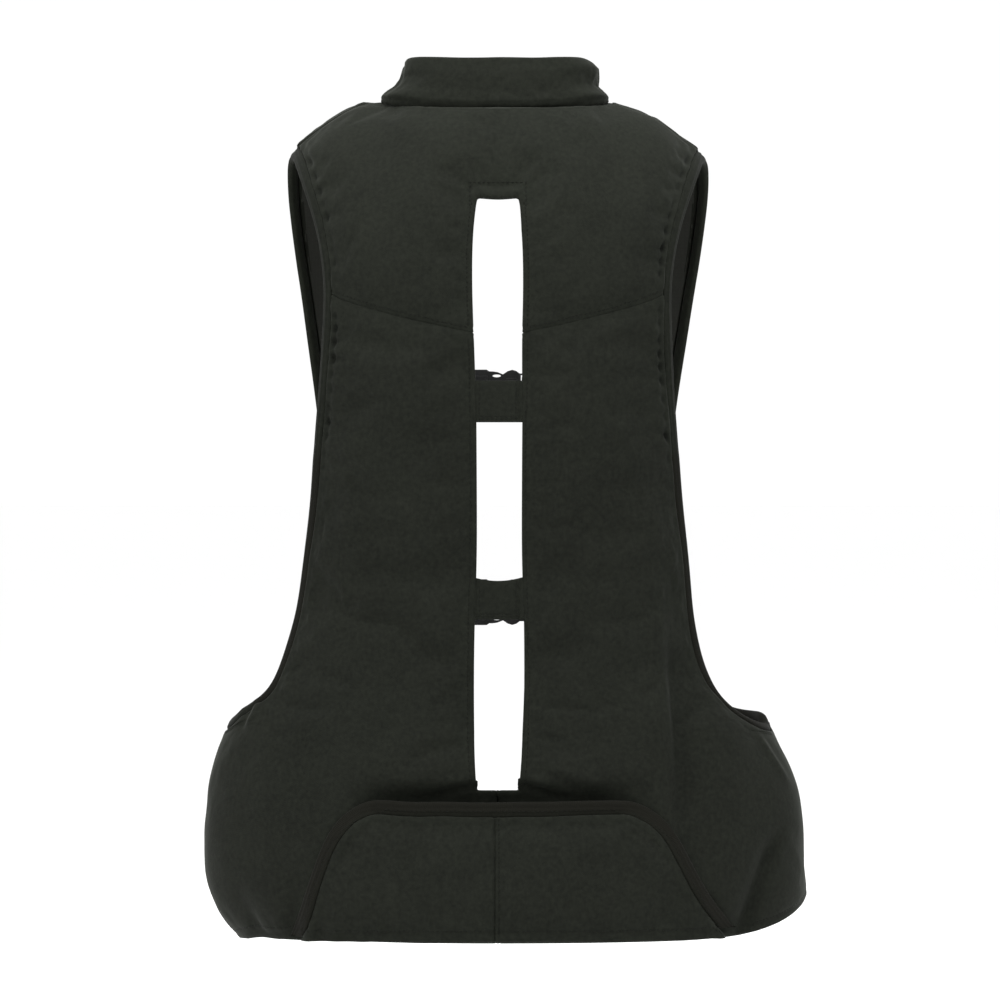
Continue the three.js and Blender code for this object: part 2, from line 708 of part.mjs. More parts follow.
// Collar stand round the neck edge.
{
  const height = column(COLLAR, "at", "height");
  const lean = column(COLLAR, "at", "lean");
  const straight = COLLAR.at(-3).at;
  const stations = [
    ...range(-2, -straight, STEPS.collarEnd),
    ...range(-straight, straight, STEPS.collar).slice(1),
    ...range(straight, 2, STEPS.collarEnd).slice(1),
  ];
  const rows = range(0, 1, STEPS.collarHeight);
  const grid = rows.map(() => []);
  for (const at of stations) {
    const side = at < 0 ? -1 : 1;
    const f = Math.abs(at);
    const edge = f <= 1 ? neckBackAt(f, side) : neckFrontAt(f - 1, side);
    const c = f <= 1 ? lerp(-0.99, 0.48, f) : lerp(NECK_SHARE - 0.02, 0.01, f - 1);
    const skin = f <= 1 ? (u, v) => yokeSkin(side, u, v) : (u, v) => frontSkin(side, u, v);
    const normal = normalOf(skin, c, f <= 1 ? 0.995 : -0.995, outward(edge));
    const drop = (WALL.full - WALL.edge) / 2;
    const base = edge.clone().addScaledVector(normal, -drop * 0.9);
    base.z += 0.7;
    const inward = new THREE.Vector3(-base.x, 4 - base.y, 0).normalize();
    rows.forEach((share, i) => {
      const point = base.clone().addScaledVector(inward, lean(f) * share ** 0.55);
      point.z += height(f) * share;
      grid[i].push(point);
    });
  }
  const normals = grid.map((row, i) => row.map((point, j) => {
    const left = row[Math.max(j - 1, 0)];
    const right = row[Math.min(j + 1, row.length - 1)];
    const normal = right.clone().sub(left).setZ(0).cross(new THREE.Vector3(0, 0, 1)).normalize();
    if (normal.dot(new THREE.Vector3(point.x, point.y - 4, 0)) < 0) normal.negate();
    return normal;
  }));
  wallMesh("collar", grid, normals, COLLAR_WALL, "cloth");
}

// Lumbar patch, lying on the back panels.
{
  const lift = LUMBAR_WALL.full + 2 * GAP;
  const half = { "-1": column(LUMBAR, "at", "left"), 1: column(LUMBAR, "at", "right") };
  const hem = (side, x) => {
    const z = BACK_ROWS.at(-1).inner;
    return lerp(z, side < 0 ? HEM.left : HEM.right, hemRise(turnAt(side, x, z)));
  };
  const outline = (side, at) => {
    const x = half[side](at);
    return { x, z: lerp(LUMBAR_TOP, hem(side, x), at) };
  };
  const onBack = (side, x, z) => {
    const skin = (u, v) => torso(side, turnAt(side, u, v), v);
    const point = torso(side, turnAt(side, x, z), z);
    const normal = normalOf(skin, Math.max(x, 1), z, outward(point));
    if (x < 1) normal.setX(0).normalize();
    return { point: point.addScaledVector(normal, lift), normal };
  };
  const edgeAt = (side, at) => {
    const here = outline(side, at);
    const before = outline(side, Math.max(at - 0.01, 0));
    const after = outline(side, Math.min(at + 0.01, 1));
    const way = new THREE.Vector2(after.x - before.x, after.z - before.z).normalize();
    if (at === 1) return { ...here, nx: -1, nz: 0 };
    return { ...here, nx: way.y, nz: -way.x };
  };
  const rows = LUMBAR.map((row) => row.at);
  const room = LUMBAR_TAPE.width + 2 * GAP;
  const across = range(-1, 1, STEPS.lumbarAcross);
  const grid = [];
  const normals = [];
  for (const at of rows) {
    const points = across.map((c) => {
      const side = c < 0 ? -1 : 1;
      const edge = edgeAt(side, at);
      const endX = edge.x + edge.nx * room;
      const endZ = edge.z + edge.nz * room;
      const middleZ = lerp(LUMBAR_TOP - room, BACK_ROWS.at(-1).inner, at);
      const share = Math.abs(c);
      const x = endX * share;
      const z = at === 1 ? hem(side, x) : lerp(middleZ, endZ, share * share);
      return onBack(side, x, z);
    });
    grid.push(points.map((entry) => entry.point));
    normals.push(points.map((entry) => entry.normal));
  }
  wallMesh("lumbar_panel", grid, normals, LUMBAR_WALL, "cloth");

  const bound = (side, x, z, nx, nz) => {
    const { point, normal } = onBack(side, x, z);
    const inner = onBack(side, Math.max(x + nx * 4, 0), z + nz * 4).point;
    return { point, normal, inward: inner.sub(point).normalize() };
  };
  const sideEdge = (side) => rows.map((at) => {
    const edge = edgeAt(side, at);
    return bound(side, edge.x, edge.z, edge.nx, edge.nz);
  });
  const top = range(-1, 1, STEPS.lumbarTape).slice(1, -1).map((c) => {
    const side = c < 0 ? -1 : 1;
    return bound(side, Math.abs(c) * half[side](0), LUMBAR_TOP, 0, -1);
  });
  const path = [...sideEdge(-1).reverse(), ...top, ...sideEdge(1)];
  tapeMesh("lumbar_binding", path, LUMBAR_TAPE, LUMBAR_WALL, "tape", false);
}

// Bands across the slot, set back from the skin.
for (const { name, top, bottom, sag } of BRIDGES) {
  const back = (WALL.full - BAND_WALL.full) / 2;
  const grid = range(0, 1, 3).map((share) => range(-1, 1, 6).map((c) => {
    const z = lerp(top - sag * (1 - c * c), bottom, share);
    const side = c < 0 ? -1 : 1;
    const x = Math.abs(c) * (slotHalf(z) - 3 * GAP);
    const point = torso(side, turnAt(side, x, z), z);
    point.y += back;
    return point;
  }));
  const normals = grid.map((row) => row.map(() => new THREE.Vector3(0, -1, 0)));
  wallMesh(name, grid, normals, BAND_WALL, "cloth");
}

// Webbing from the front panels to the buckle bars, folded round each bar.
for (const { name, z: middle } of STRAPS) {
  for (const { side, label } of SIDES) {
    const bar = side < 0 ? BUCKLE.socketEnd + BUCKLE.bar / 2 : BUCKLE.plugEnd - BUCKLE.bar / 2;
    const barX = Math.abs(bar);
    const plane = depthFront(middle) - BUCKLE_SET_BACK;
    const turn = Math.hypot(BUCKLE.bar / 2, BUCKLE.frameThick / 2) + GAP + WEBBING.thick;
    const grid = range(-0.5, 0.5, 2).map((share) => {
      const z = middle + share * WEBBING.width;
      const row = [];
      for (const x of range(FRONT_HALF_GAP + WEBBING.sewn, FRONT_HALF_GAP + 6, 6)) {
        const skin = (u, v) => torso(side, 180 - turnAt(side, u, v), v);
        const point = skin(x, z);
        const normal = normalOf(skin, x, z, outward(point));
        row.push(point.addScaledVector(normal, WEBBING.thick + 3 * GAP));
      }
      for (const angle of range(90, 270, 6)) {
        const a = degToRad(angle);
        const x = barX + turn * Math.cos(a);
        row.push(new THREE.Vector3(side * x, plane + turn * Math.sin(a), z));
      }
      row.push(new THREE.Vector3(side * (FRONT_HALF_GAP - 3), plane - turn + 0.8, z));
      return row;
    });
    const normals = grid.map((row) => row.map((point, j) => {
      const before = row[Math.max(j - 1, 0)];
      const after = row[Math.min(j + 1, row.length - 1)];
      const way = after.clone().sub(before).setZ(0).normalize();
      return new THREE.Vector3(way.y, -way.x, 0).multiplyScalar(side);
    }));
    const wall = { full: WEBBING.thick, edge: WEBBING.thick, seam: WEBBING.thick, taper: 1 };
    wallMesh(`strap_${name}_${label}`, grid, normals, wall, "webbing");
  }
}

// Closed geometry as a solid, for joining.
function solidOf(geometry) {
  const bare = geometry.clone();
  bare.deleteAttribute("normal");
  bare.deleteAttribute("uv");
  const merged = mergeVertices(bare, 1e-4);
  const vertProperties = new Float32Array(merged.attributes.position.array);
  const triVerts = new Uint32Array(merged.index.array);
  return new wasm.Manifold(new wasm.Mesh({ numProp: 3, vertProperties, triVerts }));
}

function plate(shape, thick) {
  const geometry = new THREE.ExtrudeGeometry(shape, { depth: thick, bevelEnabled: false, curveSegments: 5 });
  geometry.translate(0, 0, -thick / 2);
  geometry.rotateX(Math.PI / 2);
  return solidOf(geometry);
}

// Frame with a window for the webbing, from the body to the bar at one end.
function frame(from, to, bar) {
  const shape = new THREE.Shape();
  const { frameHalf, windowHalf } = BUCKLE;
  const way = Math.sign(to - from);
  shape.moveTo(from, -frameHalf);
  shape.lineTo(to - way, -frameHalf);
  shape.lineTo(to, 1 - frameHalf);
  shape.lineTo(to, frameHalf - 1);
  shape.lineTo(to - way, frameHalf);
  shape.lineTo(from, frameHalf);
  const window = new THREE.Path();
  const [near, far] = [from + way * 3, to - way * bar];
  window.moveTo(near, -windowHalf);
  window.lineTo(near, windowHalf);
  window.lineTo(far, windowHalf);
  window.lineTo(far, -windowHalf);
  shape.holes.push(window);
  return plate(shape, BUCKLE.frameThick);
}

for (const { name, z } of STRAPS) {
  const body = new THREE.Shape();
  BUCKLE_EDGE.forEach((p, i) => (i === 0 ? body.moveTo(p.x, p.z) : body.lineTo(p.x, p.z)));
  [...BUCKLE_EDGE].reverse().forEach((p) => body.lineTo(p.x, -p.z));
  for (const sign of [-1, 1]) {
    const corners = range(0, 330, 11).map(degToRad).map((a) => new THREE.Vector2(
      BUCKLE_HOLE.x + BUCKLE_HOLE.rx * Math.cos(a),
      sign * BUCKLE_HOLE.z + BUCKLE_HOLE.rz * Math.sin(a),
    ));
    body.holes.push(new THREE.Path(corners));
  }
  const socket = frame(BUCKLE_EDGE[0].x + 2, BUCKLE.socketEnd, BUCKLE.bar);
  const plug = frame(BUCKLE_EDGE.at(-1).x - 2, BUCKLE.plugEnd, BUCKLE.bar);
  const joined = plate(body, BUCKLE.thick).add(socket).add(plug).getMesh();
  const geometry = new THREE.BufferGeometry();
  geometry.setAttribute("position", new THREE.BufferAttribute(joined.vertProperties, 3));
  geometry.setIndex(new THREE.BufferAttribute(joined.triVerts, 1));
  const mesh = new THREE.Mesh(geometry, new THREE.MeshStandardMaterial(COLOURS.plastic));
  mesh.name = `buckle_${name}`;
  mesh.position.set(0, depthFront(z) - BUCKLE_SET_BACK, z);
  vest.add(mesh);
}

export default vest;
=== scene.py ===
import math
import random

import bmesh
import bpy
import numpy as np
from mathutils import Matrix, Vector, noise
from mathutils.bvhtree import BVHTree
from mathutils.kdtree import KDTree


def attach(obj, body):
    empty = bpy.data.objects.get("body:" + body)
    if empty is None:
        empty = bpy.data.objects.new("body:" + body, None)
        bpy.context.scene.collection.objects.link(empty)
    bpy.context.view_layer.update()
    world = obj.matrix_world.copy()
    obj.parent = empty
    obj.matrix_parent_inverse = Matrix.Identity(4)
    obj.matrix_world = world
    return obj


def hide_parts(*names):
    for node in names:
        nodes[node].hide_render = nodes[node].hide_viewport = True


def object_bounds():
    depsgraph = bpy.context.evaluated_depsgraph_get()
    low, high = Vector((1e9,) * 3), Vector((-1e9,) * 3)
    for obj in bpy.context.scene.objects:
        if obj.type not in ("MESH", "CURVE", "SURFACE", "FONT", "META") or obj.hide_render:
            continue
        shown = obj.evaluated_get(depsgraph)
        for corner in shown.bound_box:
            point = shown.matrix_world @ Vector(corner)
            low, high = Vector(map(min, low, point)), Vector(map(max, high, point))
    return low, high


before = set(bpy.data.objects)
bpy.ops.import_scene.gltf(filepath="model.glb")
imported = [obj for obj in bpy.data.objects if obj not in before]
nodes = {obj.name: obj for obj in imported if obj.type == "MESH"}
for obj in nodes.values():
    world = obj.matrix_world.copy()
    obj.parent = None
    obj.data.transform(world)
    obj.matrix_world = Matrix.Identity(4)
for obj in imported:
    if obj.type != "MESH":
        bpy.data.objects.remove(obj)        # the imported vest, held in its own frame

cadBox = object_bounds()
scene = bpy.context.scene
scene.view_settings.view_transform = "Standard"
mm = 0.001


# camera, light and floor
stageSpec = {
    "cameraPlace": (0.00144, -3.0, -0.288),
    "lens": 150.0,
    "sensor": 36.0,
    "worldLight": 1.01,
    "floorDrop": 0.14,
    "floorSize": 600.0,
}
lampSpecs = [
    {"name": "topSoftbox", "place": (0.0, -0.75, 1.7), "size": 1.8, "watts": 78.0},
    {"name": "leftSoftbox", "place": (-2.6, -1.5, 0.5), "size": 1.5, "watts": 32.0},
    {"name": "rightSoftbox", "place": (2.6, -1.7, 0.4), "size": 1.5, "watts": 21.0},
]
middle = (cadBox[0] + cadBox[1]) / 2


def makeStage():
    bpy.ops.object.camera_add(location=stageSpec["cameraPlace"], rotation=(math.radians(90), 0, 0))
    camera = bpy.context.object
    camera.name = "photoCamera"
    camera.data.lens = stageSpec["lens"]
    camera.data.sensor_width = stageSpec["sensor"]
    camera.data.dof.use_dof = False
    scene.camera = camera
    for lamp in lampSpecs:
        aim = (middle - Vector(lamp["place"])).to_track_quat("-Z", "Y").to_euler()
        bpy.ops.object.light_add(type="AREA", location=lamp["place"], rotation=aim)
        light = bpy.context.object
        light.name = lamp["name"]
        light.data.size = lamp["size"]
        light.data.energy = lamp["watts"]
    world = bpy.data.worlds.new("softWhite")
    scene.world = world
    world.use_nodes = True
    world.node_tree.nodes["Background"].inputs["Color"].default_value = (1, 1, 1, 1)
    world.node_tree.nodes["Background"].inputs["Strength"].default_value = stageSpec["worldLight"]
    bpy.ops.mesh.primitive_plane_add(size=stageSpec["floorSize"],
                                     location=(0, 0, cadBox[0].z - stageSpec["floorDrop"]))
    floor = bpy.context.object
    floor.name = "floor"
    return floor


# shader maths on sockets
class Wire:
    def __init__(self, tree, socket=None):
        self.tree = tree
        self.socket = socket

    def feed(self, socket, value):
        if isinstance(value, Wire):
            self.tree.links.new(value.socket, socket)
        else:
            socket.default_value = value

    def make(self, kind, settings=None, sockets=None, out=0):
        node = self.tree.nodes.new("ShaderNode" + kind)
        for key, value in (settings or {}).items():
            setattr(node, key, value)
        for key, value in (sockets or {}).items():
            self.feed(node.inputs[key], value)
        return Wire(self.tree, node.outputs[out])

    def sum(self, operation, first, second):
        return self.make("Math", {"operation": operation}, {0: first, 1: second})

    def __add__(self, other):
        return self.sum("ADD", self, other)

    __radd__ = __add__

    def __sub__(self, other):
        return self.sum("SUBTRACT", self, other)

    def __rsub__(self, other):
        return self.sum("SUBTRACT", other, self)

    def __mul__(self, other):
        return self.sum("MULTIPLY", self, other)

    __rmul__ = __mul__


def newMaterial(name, sockets):
    material = bpy.data.materials.new(name)
    material.use_nodes = True
    tree = material.node_tree
    shader = tree.nodes["Principled BSDF"]
    for key, value in sockets.items():
        shader.inputs[key].default_value = value
    return material, Wire(tree), shader


def mixColours(wire, share, first, second):
    return wire.make("Mix", {"data_type": "RGBA"}, {0: share, 6: first, 7: second}, out=2)


def objectPlace(wire):
    return wire.make("TexCoord", out="Object")


def attribute(wire, name):
    return wire.make("Attribute", {"attribute_name": name}, out="Fac")


def fibreNoise(wire, place, scale, detail=3.0, rough=0.55):
    return wire.make("TexNoise", {}, {"Vector": place, "Scale": scale, "Detail": detail, "Roughness": rough})


def ribs(wire, place, way, pitch, warp=0.0):
    # one wave each pitch; a wave texture turns once in 2 pi / 20 of its coordinate
    scale = 2 * math.pi / 20 / pitch
    return wire.make("TexWave", {"wave_type": "BANDS", "bands_direction": way},
                     {"Vector": place, "Scale": scale, "Distortion": warp, "Detail": 1.0}, out="Fac")


def blend(patterns, shares):
    return sum(patterns[name] * share for name, share in shares.items())


def finish(wire, shader, spec, colour, fleck, relief=None):
    wire.feed(shader.inputs["Base Color"], colour)
    first, last = spec["rough"]
    wire.feed(shader.inputs["Roughness"], fleck * (last - first) + first)
    if relief is not None:
        bump = wire.make("Bump", {}, {**spec["bump"], "Height": relief})
        wire.feed(shader.inputs["Normal"], bump)


clothSpec = {
    "sockets": {"Sheen Weight": 0.05, "Sheen Roughness": 0.32, "Sheen Tint": (0.86, 0.92, 0.8, 1),
                "Specular IOR Level": 0.11},
    "dark": (0.0015, 0.0020, 0.0010, 1),
    "light": (0.0094, 0.0108, 0.0075, 1),
    "rough": (0.80, 0.94),
    "bump": {"Strength": 0.3, "Distance": 0.0004},
    "blotch": 24.0,
    "grain": 330.0,
    "fibre": 1100.0,
    "weavePitch": 0.0008,
    "weaveWarp": 1.2,
    "mottle": {"blotch": 0.24, "grain": 0.58, "fibre": 0.16, "weave": 0.02},
    "relief": {"weave": 0.08, "fibre": 0.6, "grain": 1.2},
    "contrast": 2.0,
    "tone": 0.46,
    "paintedTopLight": (-0.34, 0.03),    # heights between which the painted light from above fades in
    "paintedTopLightLift": 0.19,
    "pressed": 0.17,         # how much painted shade darkens the cloth in a pit or fold
}


def clothColour(wire):
    # a mottled colour, with painted light high up and painted shade in the pits and folds; also gives its
    # patterns
    spec = clothSpec
    place = objectPlace(wire)
    patterns = {
        "blotch": fibreNoise(wire, place, spec["blotch"], detail=4.0, rough=0.6),
        "grain": fibreNoise(wire, place, spec["grain"], detail=3.0, rough=0.6),
        "fibre": fibreNoise(wire, place, spec["fibre"], detail=2.0),
        "weave": ribs(wire, place, "DIAGONAL", spec["weavePitch"], spec["weaveWarp"]),
    }
    height = wire.make("SeparateXYZ", {}, {"Vector": place}, out="Z")
    # painted light: the cloth is painted lighter towards the top
    low, high = spec["paintedTopLight"]
    paintedTopLight = wire.make("MapRange", {"interpolation_type": "SMOOTHSTEP"},
                    {"Value": height, "From Min": low, "From Max": high})
    mottle = (blend(patterns, spec["mottle"]) - 0.5) * spec["contrast"] + spec["tone"]
    # painted shade: darker where the fold attribute marks a pit or fold
    tone = mottle + paintedTopLight * spec["paintedTopLightLift"] - attribute(wire, "fold") * spec["pressed"]
    return mixColours(wire, tone, spec["dark"], spec["light"]), patterns


def clothMaterial():
    material, wire, shader = newMaterial("shellCloth", clothSpec["sockets"])
    colour, patterns = clothColour(wire)
    finish(wire, shader, clothSpec, colour, patterns["fibre"], blend(patterns, clothSpec["relief"]))
    return material


tapeSpec = {
    "sockets": {"Sheen Weight": 0.02, "Sheen Roughness": 0.35, "Specular IOR Level": 0.08},
    "dark": (0.0017, 0.0017, 0.0010, 1),
    "light": (0.0062, 0.0061, 0.0040, 1),
    "rough": (0.72, 0.92),
    "bump": {"Strength": 0.35, "Distance": 0.0004},
    "ribPitch": 0.0013,
    "mottle": {"rib": 0.5, "fibre": 0.5},
    "relief": {"rib": 0.8, "grain": 1.2, "fibre": 0.5},
    "width": 0.016,
}


def tapeMaterial():
    # ribbed tape where the attribute bound is 1, the cloth turned over the edge where it is 0
    spec = tapeSpec
    material, wire, shader = newMaterial("bindingTape", spec["sockets"])
    bound = attribute(wire, "bound")
    along = wire.make("CombineXYZ", {}, {"X": attribute(wire, "along")})
    cloth, patterns = clothColour(wire)
    patterns["rib"] = ribs(wire, along, "X", spec["ribPitch"])
    tape = mixColours(wire, blend(patterns, spec["mottle"]), spec["dark"], spec["light"])
    patterns["rib"] = patterns["rib"] * bound
    colour = mixColours(wire, bound, cloth, tape)
    finish(wire, shader, spec, colour, patterns["fibre"], blend(patterns, spec["relief"]))
    return material


liningSpec = {
    "sockets": {"Sheen Weight": 0.03, "Sheen Roughness": 0.4, "Specular IOR Level": 0.1},
    "dark": (0.0160, 0.0166, 0.0140, 1),
    "light": (0.0262, 0.0272, 0.0232, 1),
    "rough": (0.95, 0.80),
    "bump": {"Strength": 0.2, "Distance": 0.0003},
    "pitch": {"X": 0.0024, "Z": 0.0024},
    "fibre": 700.0,
    "mottle": {"net": 0.25, "fibre": 0.6},
    "relief": {"net": 1.0, "fibre": 0.6},
}
webbingSpec = {
    "sockets": {"Sheen Weight": 0.04, "Sheen Roughness": 0.3, "Specular IOR Level": 0.2},
    "dark": (0.0030, 0.0030, 0.0031, 1),
    "light": (0.0088, 0.0088, 0.0088, 1),
    "rough": (0.55, 0.80),
    "bump": {"Strength": 0.6, "Distance": 0.0005},
    "pitch": {"X": 0.0016, "Z": 0.0021},
    "fibre": 1500.0,
    "mottle": {"net": 0.6, "fibre": 0.4},
    "relief": {"net": 1.0, "fibre": 0.2},
}


def wovenMaterial(name, spec):
    # threads that cross, with loose fibre
    material, wire, shader = newMaterial(name, spec["sockets"])
    place = objectPlace(wire)
    across, upward = (ribs(wire, place, way, pitch) for way, pitch in spec["pitch"].items())
    patterns = {"net": across * upward, "fibre": fibreNoise(wire, place, spec["fibre"], detail=2.0)}
    colour = mixColours(wire, blend(patterns, spec["mottle"]), spec["dark"], spec["light"])
    finish(wire, shader, spec, colour, patterns["fibre"], blend(patterns, spec["relief"]))
    return material


# the noises of a plain material have a scale and a detail
plasticSpec = {
    "sockets": {"Specular IOR Level": 0.35},
    "dark": (0.0042, 0.0044, 0.0042, 1),
    "light": (0.0085, 0.0088, 0.0085, 1),
    "rough": (0.34, 0.50),
    "bump": {"Strength": 0.12, "Distance": 0.0002},
    "cloud": (90.0, 3.0),
    "grain": (1400.0, 3.0),
}
threadSpec = {
    "sockets": {"Sheen Weight": 0.0, "Specular IOR Level": 0.06},
    "dark": (0.0022, 0.0025, 0.0018, 1),
    "light": (0.0066, 0.0072, 0.0054, 1),
    "rough": (0.50, 0.75),
    "bump": {"Strength": 0.3, "Distance": 0.0002},
    "cloud": (2600.0, 2.0),
    "grain": (2600.0, 2.0),
}
floorSpec = {
    "sockets": {"Specular IOR Level": 0.1},
    "dark": (0.985, 0.985, 0.985, 1),
    "light": (0.998, 0.998, 0.998, 1),
    "rough": (0.80, 0.90),
    "cloud": (3.0, 2.0),
}


def plainMaterial(name, spec):
    material, wire, shader = newMaterial(name, spec["sockets"])
    place = objectPlace(wire)
    cloud = fibreNoise(wire, place, *spec["cloud"])
    relief = fibreNoise(wire, place, *spec["grain"]) if "grain" in spec else None
    colour = mixColours(wire, cloud, spec["dark"], spec["light"])
    finish(wire, shader, spec, colour, cloud, relief)
    return material


# modelling helpers
mergeSpec = {"gap": 0.02 * mm, "face": 1.2, "shape": 3.0, "topology": 1.6}
shoulderTurn = {"from": -110 * mm, "slope": 1.2, "most": 140 * mm}
farAway = 9.0


def pick(piece):
    if bpy.context.mode != "OBJECT":
        bpy.ops.object.mode_set(mode="OBJECT")
    bpy.ops.object.select_all(action="DESELECT")
    piece.select_set(True)
    bpy.context.view_layer.objects.active = piece


def applyModifier(piece, kind, **settings):
    pick(piece)
    modifier = piece.modifiers.new(kind.lower(), kind)
    for key, value in settings.items():
        setattr(modifier, key, value)
    bpy.ops.object.modifier_apply(modifier=modifier.name)


def smoothSteps(piece, levels):
    applyModifier(piece, "SUBSURF", levels=levels, render_levels=levels, boundary_smooth="PRESERVE_CORNERS")


def copyNode(nodeName, pieceName):
    mesh = nodes[nodeName].data.copy()
    mesh.name = pieceName
    mesh.materials.clear()
    piece = bpy.data.objects.new(pieceName, mesh)
    scene.collection.objects.link(piece)
    pick(piece)
    bpy.ops.object.mode_set(mode="EDIT")
    bpy.ops.mesh.select_all(action="SELECT")
    bpy.ops.mesh.customdata_custom_splitnormals_clear()
    bpy.ops.mesh.remove_doubles(threshold=mergeSpec["gap"])
    bpy.ops.mesh.tris_convert_to_quads(face_threshold=mergeSpec["face"], shape_threshold=mergeSpec["shape"],
                                       topology_influence=mergeSpec["topology"])
    bpy.ops.mesh.faces_shade_smooth()
    bpy.ops.object.mode_set(mode="OBJECT")
    return piece


def rowsOf(items, key):
    # one vector for each vertex or face
    flat = np.empty(len(items) * 3, np.float32)
    items.foreach_get(key, flat)
    return flat.reshape(-1, 3).astype(float)


def places(piece):
    return rowsOf(piece.data.vertices, "co")


def normals(piece):
    return rowsOf(piece.data.vertex_normals, "vector")


def setPlaces(piece, points):
    piece.data.vertices.foreach_set("co", points.astype(np.float32).ravel())
    piece.data.update()


def addValue(piece, name, values):
    layer = piece.data.attributes.new(name, "FLOAT", "POINT")
    layer.data.foreach_set("value", values.astype(np.float32))


def ease(value, low, high):
    t = np.clip((value - low) / (high - low), 0, 1)
    return t * t * (3 - 2 * t)


def bell(value, width):
    return np.exp(-(value / width) ** 2)


def wobble(points, size, seed):
    shift = Vector((seed * 3.7, seed * 1.3, seed * 2.1))
    return np.array([noise.noise(Vector(p) / size + shift) for p in points])


def outward(points):
    # away from the wearer: level round the torso, turning up over the shoulders
    spec = shoulderTurn
    up = np.clip((points[:, 2] - spec["from"]) * spec["slope"], 0, spec["most"])
    way = np.stack([points[:, 0], points[:, 1], up], axis=1)
    return way / np.maximum(np.linalg.norm(way, axis=1), 1e-6)[:, None]


def treeOf(points):
    tree = KDTree(len(points))
    for i, p in enumerate(points):
        tree.insert(p, i)
    tree.balance()
    return tree


def gapTo(points, targets):
    if len(targets) == 0:
        return np.full(len(points), farAway)
    tree = treeOf(targets)
    return np.array([tree.find(p)[2] for p in points])


def surfaceOf(piece):
    mesh = piece.data
    return BVHTree.FromPolygons([v.co for v in mesh.vertices], [p.vertices for p in mesh.polygons])


# padded panels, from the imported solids
padSpec = {
    "sharp": 0.8,
    "edgeCrease": 0.42,
    "cornerCrease": 0.75,
    "rimStep": 1.5 * mm,
    "rimFacing": 0.35,
    "firstSteps": 2,
    "lastSteps": 1,
    "turnIn": 1 * mm,
    "bodySide": -0.45,
    "softCorner": Vector((-185 * mm, 0, -605 * mm)),    # the left hem corner is round
    "softReach": 14 * mm,
}
swellSpec = {
    "frames": 20,
    "pinned": 9 * mm,
    "pinnedFrom": 0.3,
    "bodySide": -0.2,
    "wings": (145 * mm, 185 * mm),    # half widths between which the wings turn smoother
    "wingCalm": 0.9,
    "cloth": {
        "quality": 4, "mass": 0.2, "tension_stiffness": 12, "compression_stiffness": 12,
        "shear_stiffness": 6, "bending_stiffness": 0.4, "use_pressure": True,
        "uniform_pressure_force": 4.0, "shrink_min": -0.025, "vertex_group_mass": "sewn",
    },
}


def rimOf(piece):
    # points and directions along the edges of a wall, outer and inner, and creases for its corners
    bm = bmesh.new()
    bm.from_mesh(piece.data)
    edgeLayer = bm.edges.layers.float.new("crease_edge")
    cornerLayer = bm.verts.layers.float.new("crease_vert")
    outer, ways, inner = [], [], []
    for edge in bm.edges:
        if edge.calc_face_angle(0) < padSpec["sharp"]:
            continue
        edge[edgeLayer] = padSpec["edgeCrease"]
        a, b = (np.array(v.co) for v in edge.verts)
        away = outward(((a + b) / 2)[None])[0]
        facing = [float(np.dot(face.normal, away)) for face in edge.link_faces]
        steps = max(1, round(float(np.linalg.norm(b - a)) / padSpec["rimStep"]))
        for i in range(steps):
            point = a + (b - a) * (i + 0.5) / steps
            if max(facing) > padSpec["rimFacing"]:
                outer.append(point)
                ways.append((b - a) / np.linalg.norm(b - a))
            elif min(facing) < -padSpec["rimFacing"]:
                inner.append(point)
    for vert in bm.verts:
        if (vert.co - padSpec["softCorner"]).length < padSpec["softReach"]:
            continue
        if sum(1 for e in vert.link_edges if e[edgeLayer] > 0) > 2:
            vert[cornerLayer] = padSpec["cornerCrease"]
    bm.to_mesh(piece.data)
    bm.free()
    return {"rim": np.array(outer), "way": np.array(ways), "inside": np.array(inner)}


def puffUp(piece, rim, cap):
    # the cloth swells between its sewn edges; the body side stays flat
    spec = swellSpec
    before = places(piece)
    near = gapTo(before, rim)
    inner = (normals(piece) * outward(before)).sum(1) < spec["bodySide"]
    hold = np.where(inner, 1.0, 1 - ease(near, spec["pinned"] * spec["pinnedFrom"], spec["pinned"]))
    group = piece.vertex_groups.new(name="sewn")
    for i, weight in enumerate(hold):
        if weight > 0.001:
            group.add([i], float(weight), "REPLACE")
    modifier = piece.modifiers.new("cloth", "CLOTH")
    for key, value in spec["cloth"].items():
        setattr(modifier.settings, key, value)
    modifier.settings.effector_weights.gravity = 0
    modifier.collision_settings.use_collision = False
    modifier.point_cache.frame_end = spec["frames"]
    for step in range(1, spec["frames"] + 1):
        scene.frame_set(step)
    pick(piece)
    bpy.ops.object.modifier_apply(modifier=modifier.name)
    scene.frame_set(1)
    move = places(piece) - before
    far = np.linalg.norm(move, axis=1)
    calm = 1 - spec["wingCalm"] * ease(np.abs(before[:, 0]), *spec["wings"])
    move *= np.minimum(1, cap * calm / np.maximum(far, 1e-9))[:, None] * (1 - hold)[:, None]
    setPlaces(piece, before + move)
    piece.vertex_groups.clear()
    print("  swelled", piece.name, "by up to", round(float(far.max() / mm), 1), "mm")


# the padding of the front runs smoothly up to the foot of the collar
neckSpec = {
    "line": ((80.0, -6.0, 1.0), (79.5, 18.0, -10.0), (68.0, 46.0, -34.0), (43.0, 70.0, -62.0)),
    "steps": 24,
    "x": 96.0,
    "y": 6.0,
    "z": -78.0,
    "kept": 5.0,
    "repeat": 14,
}


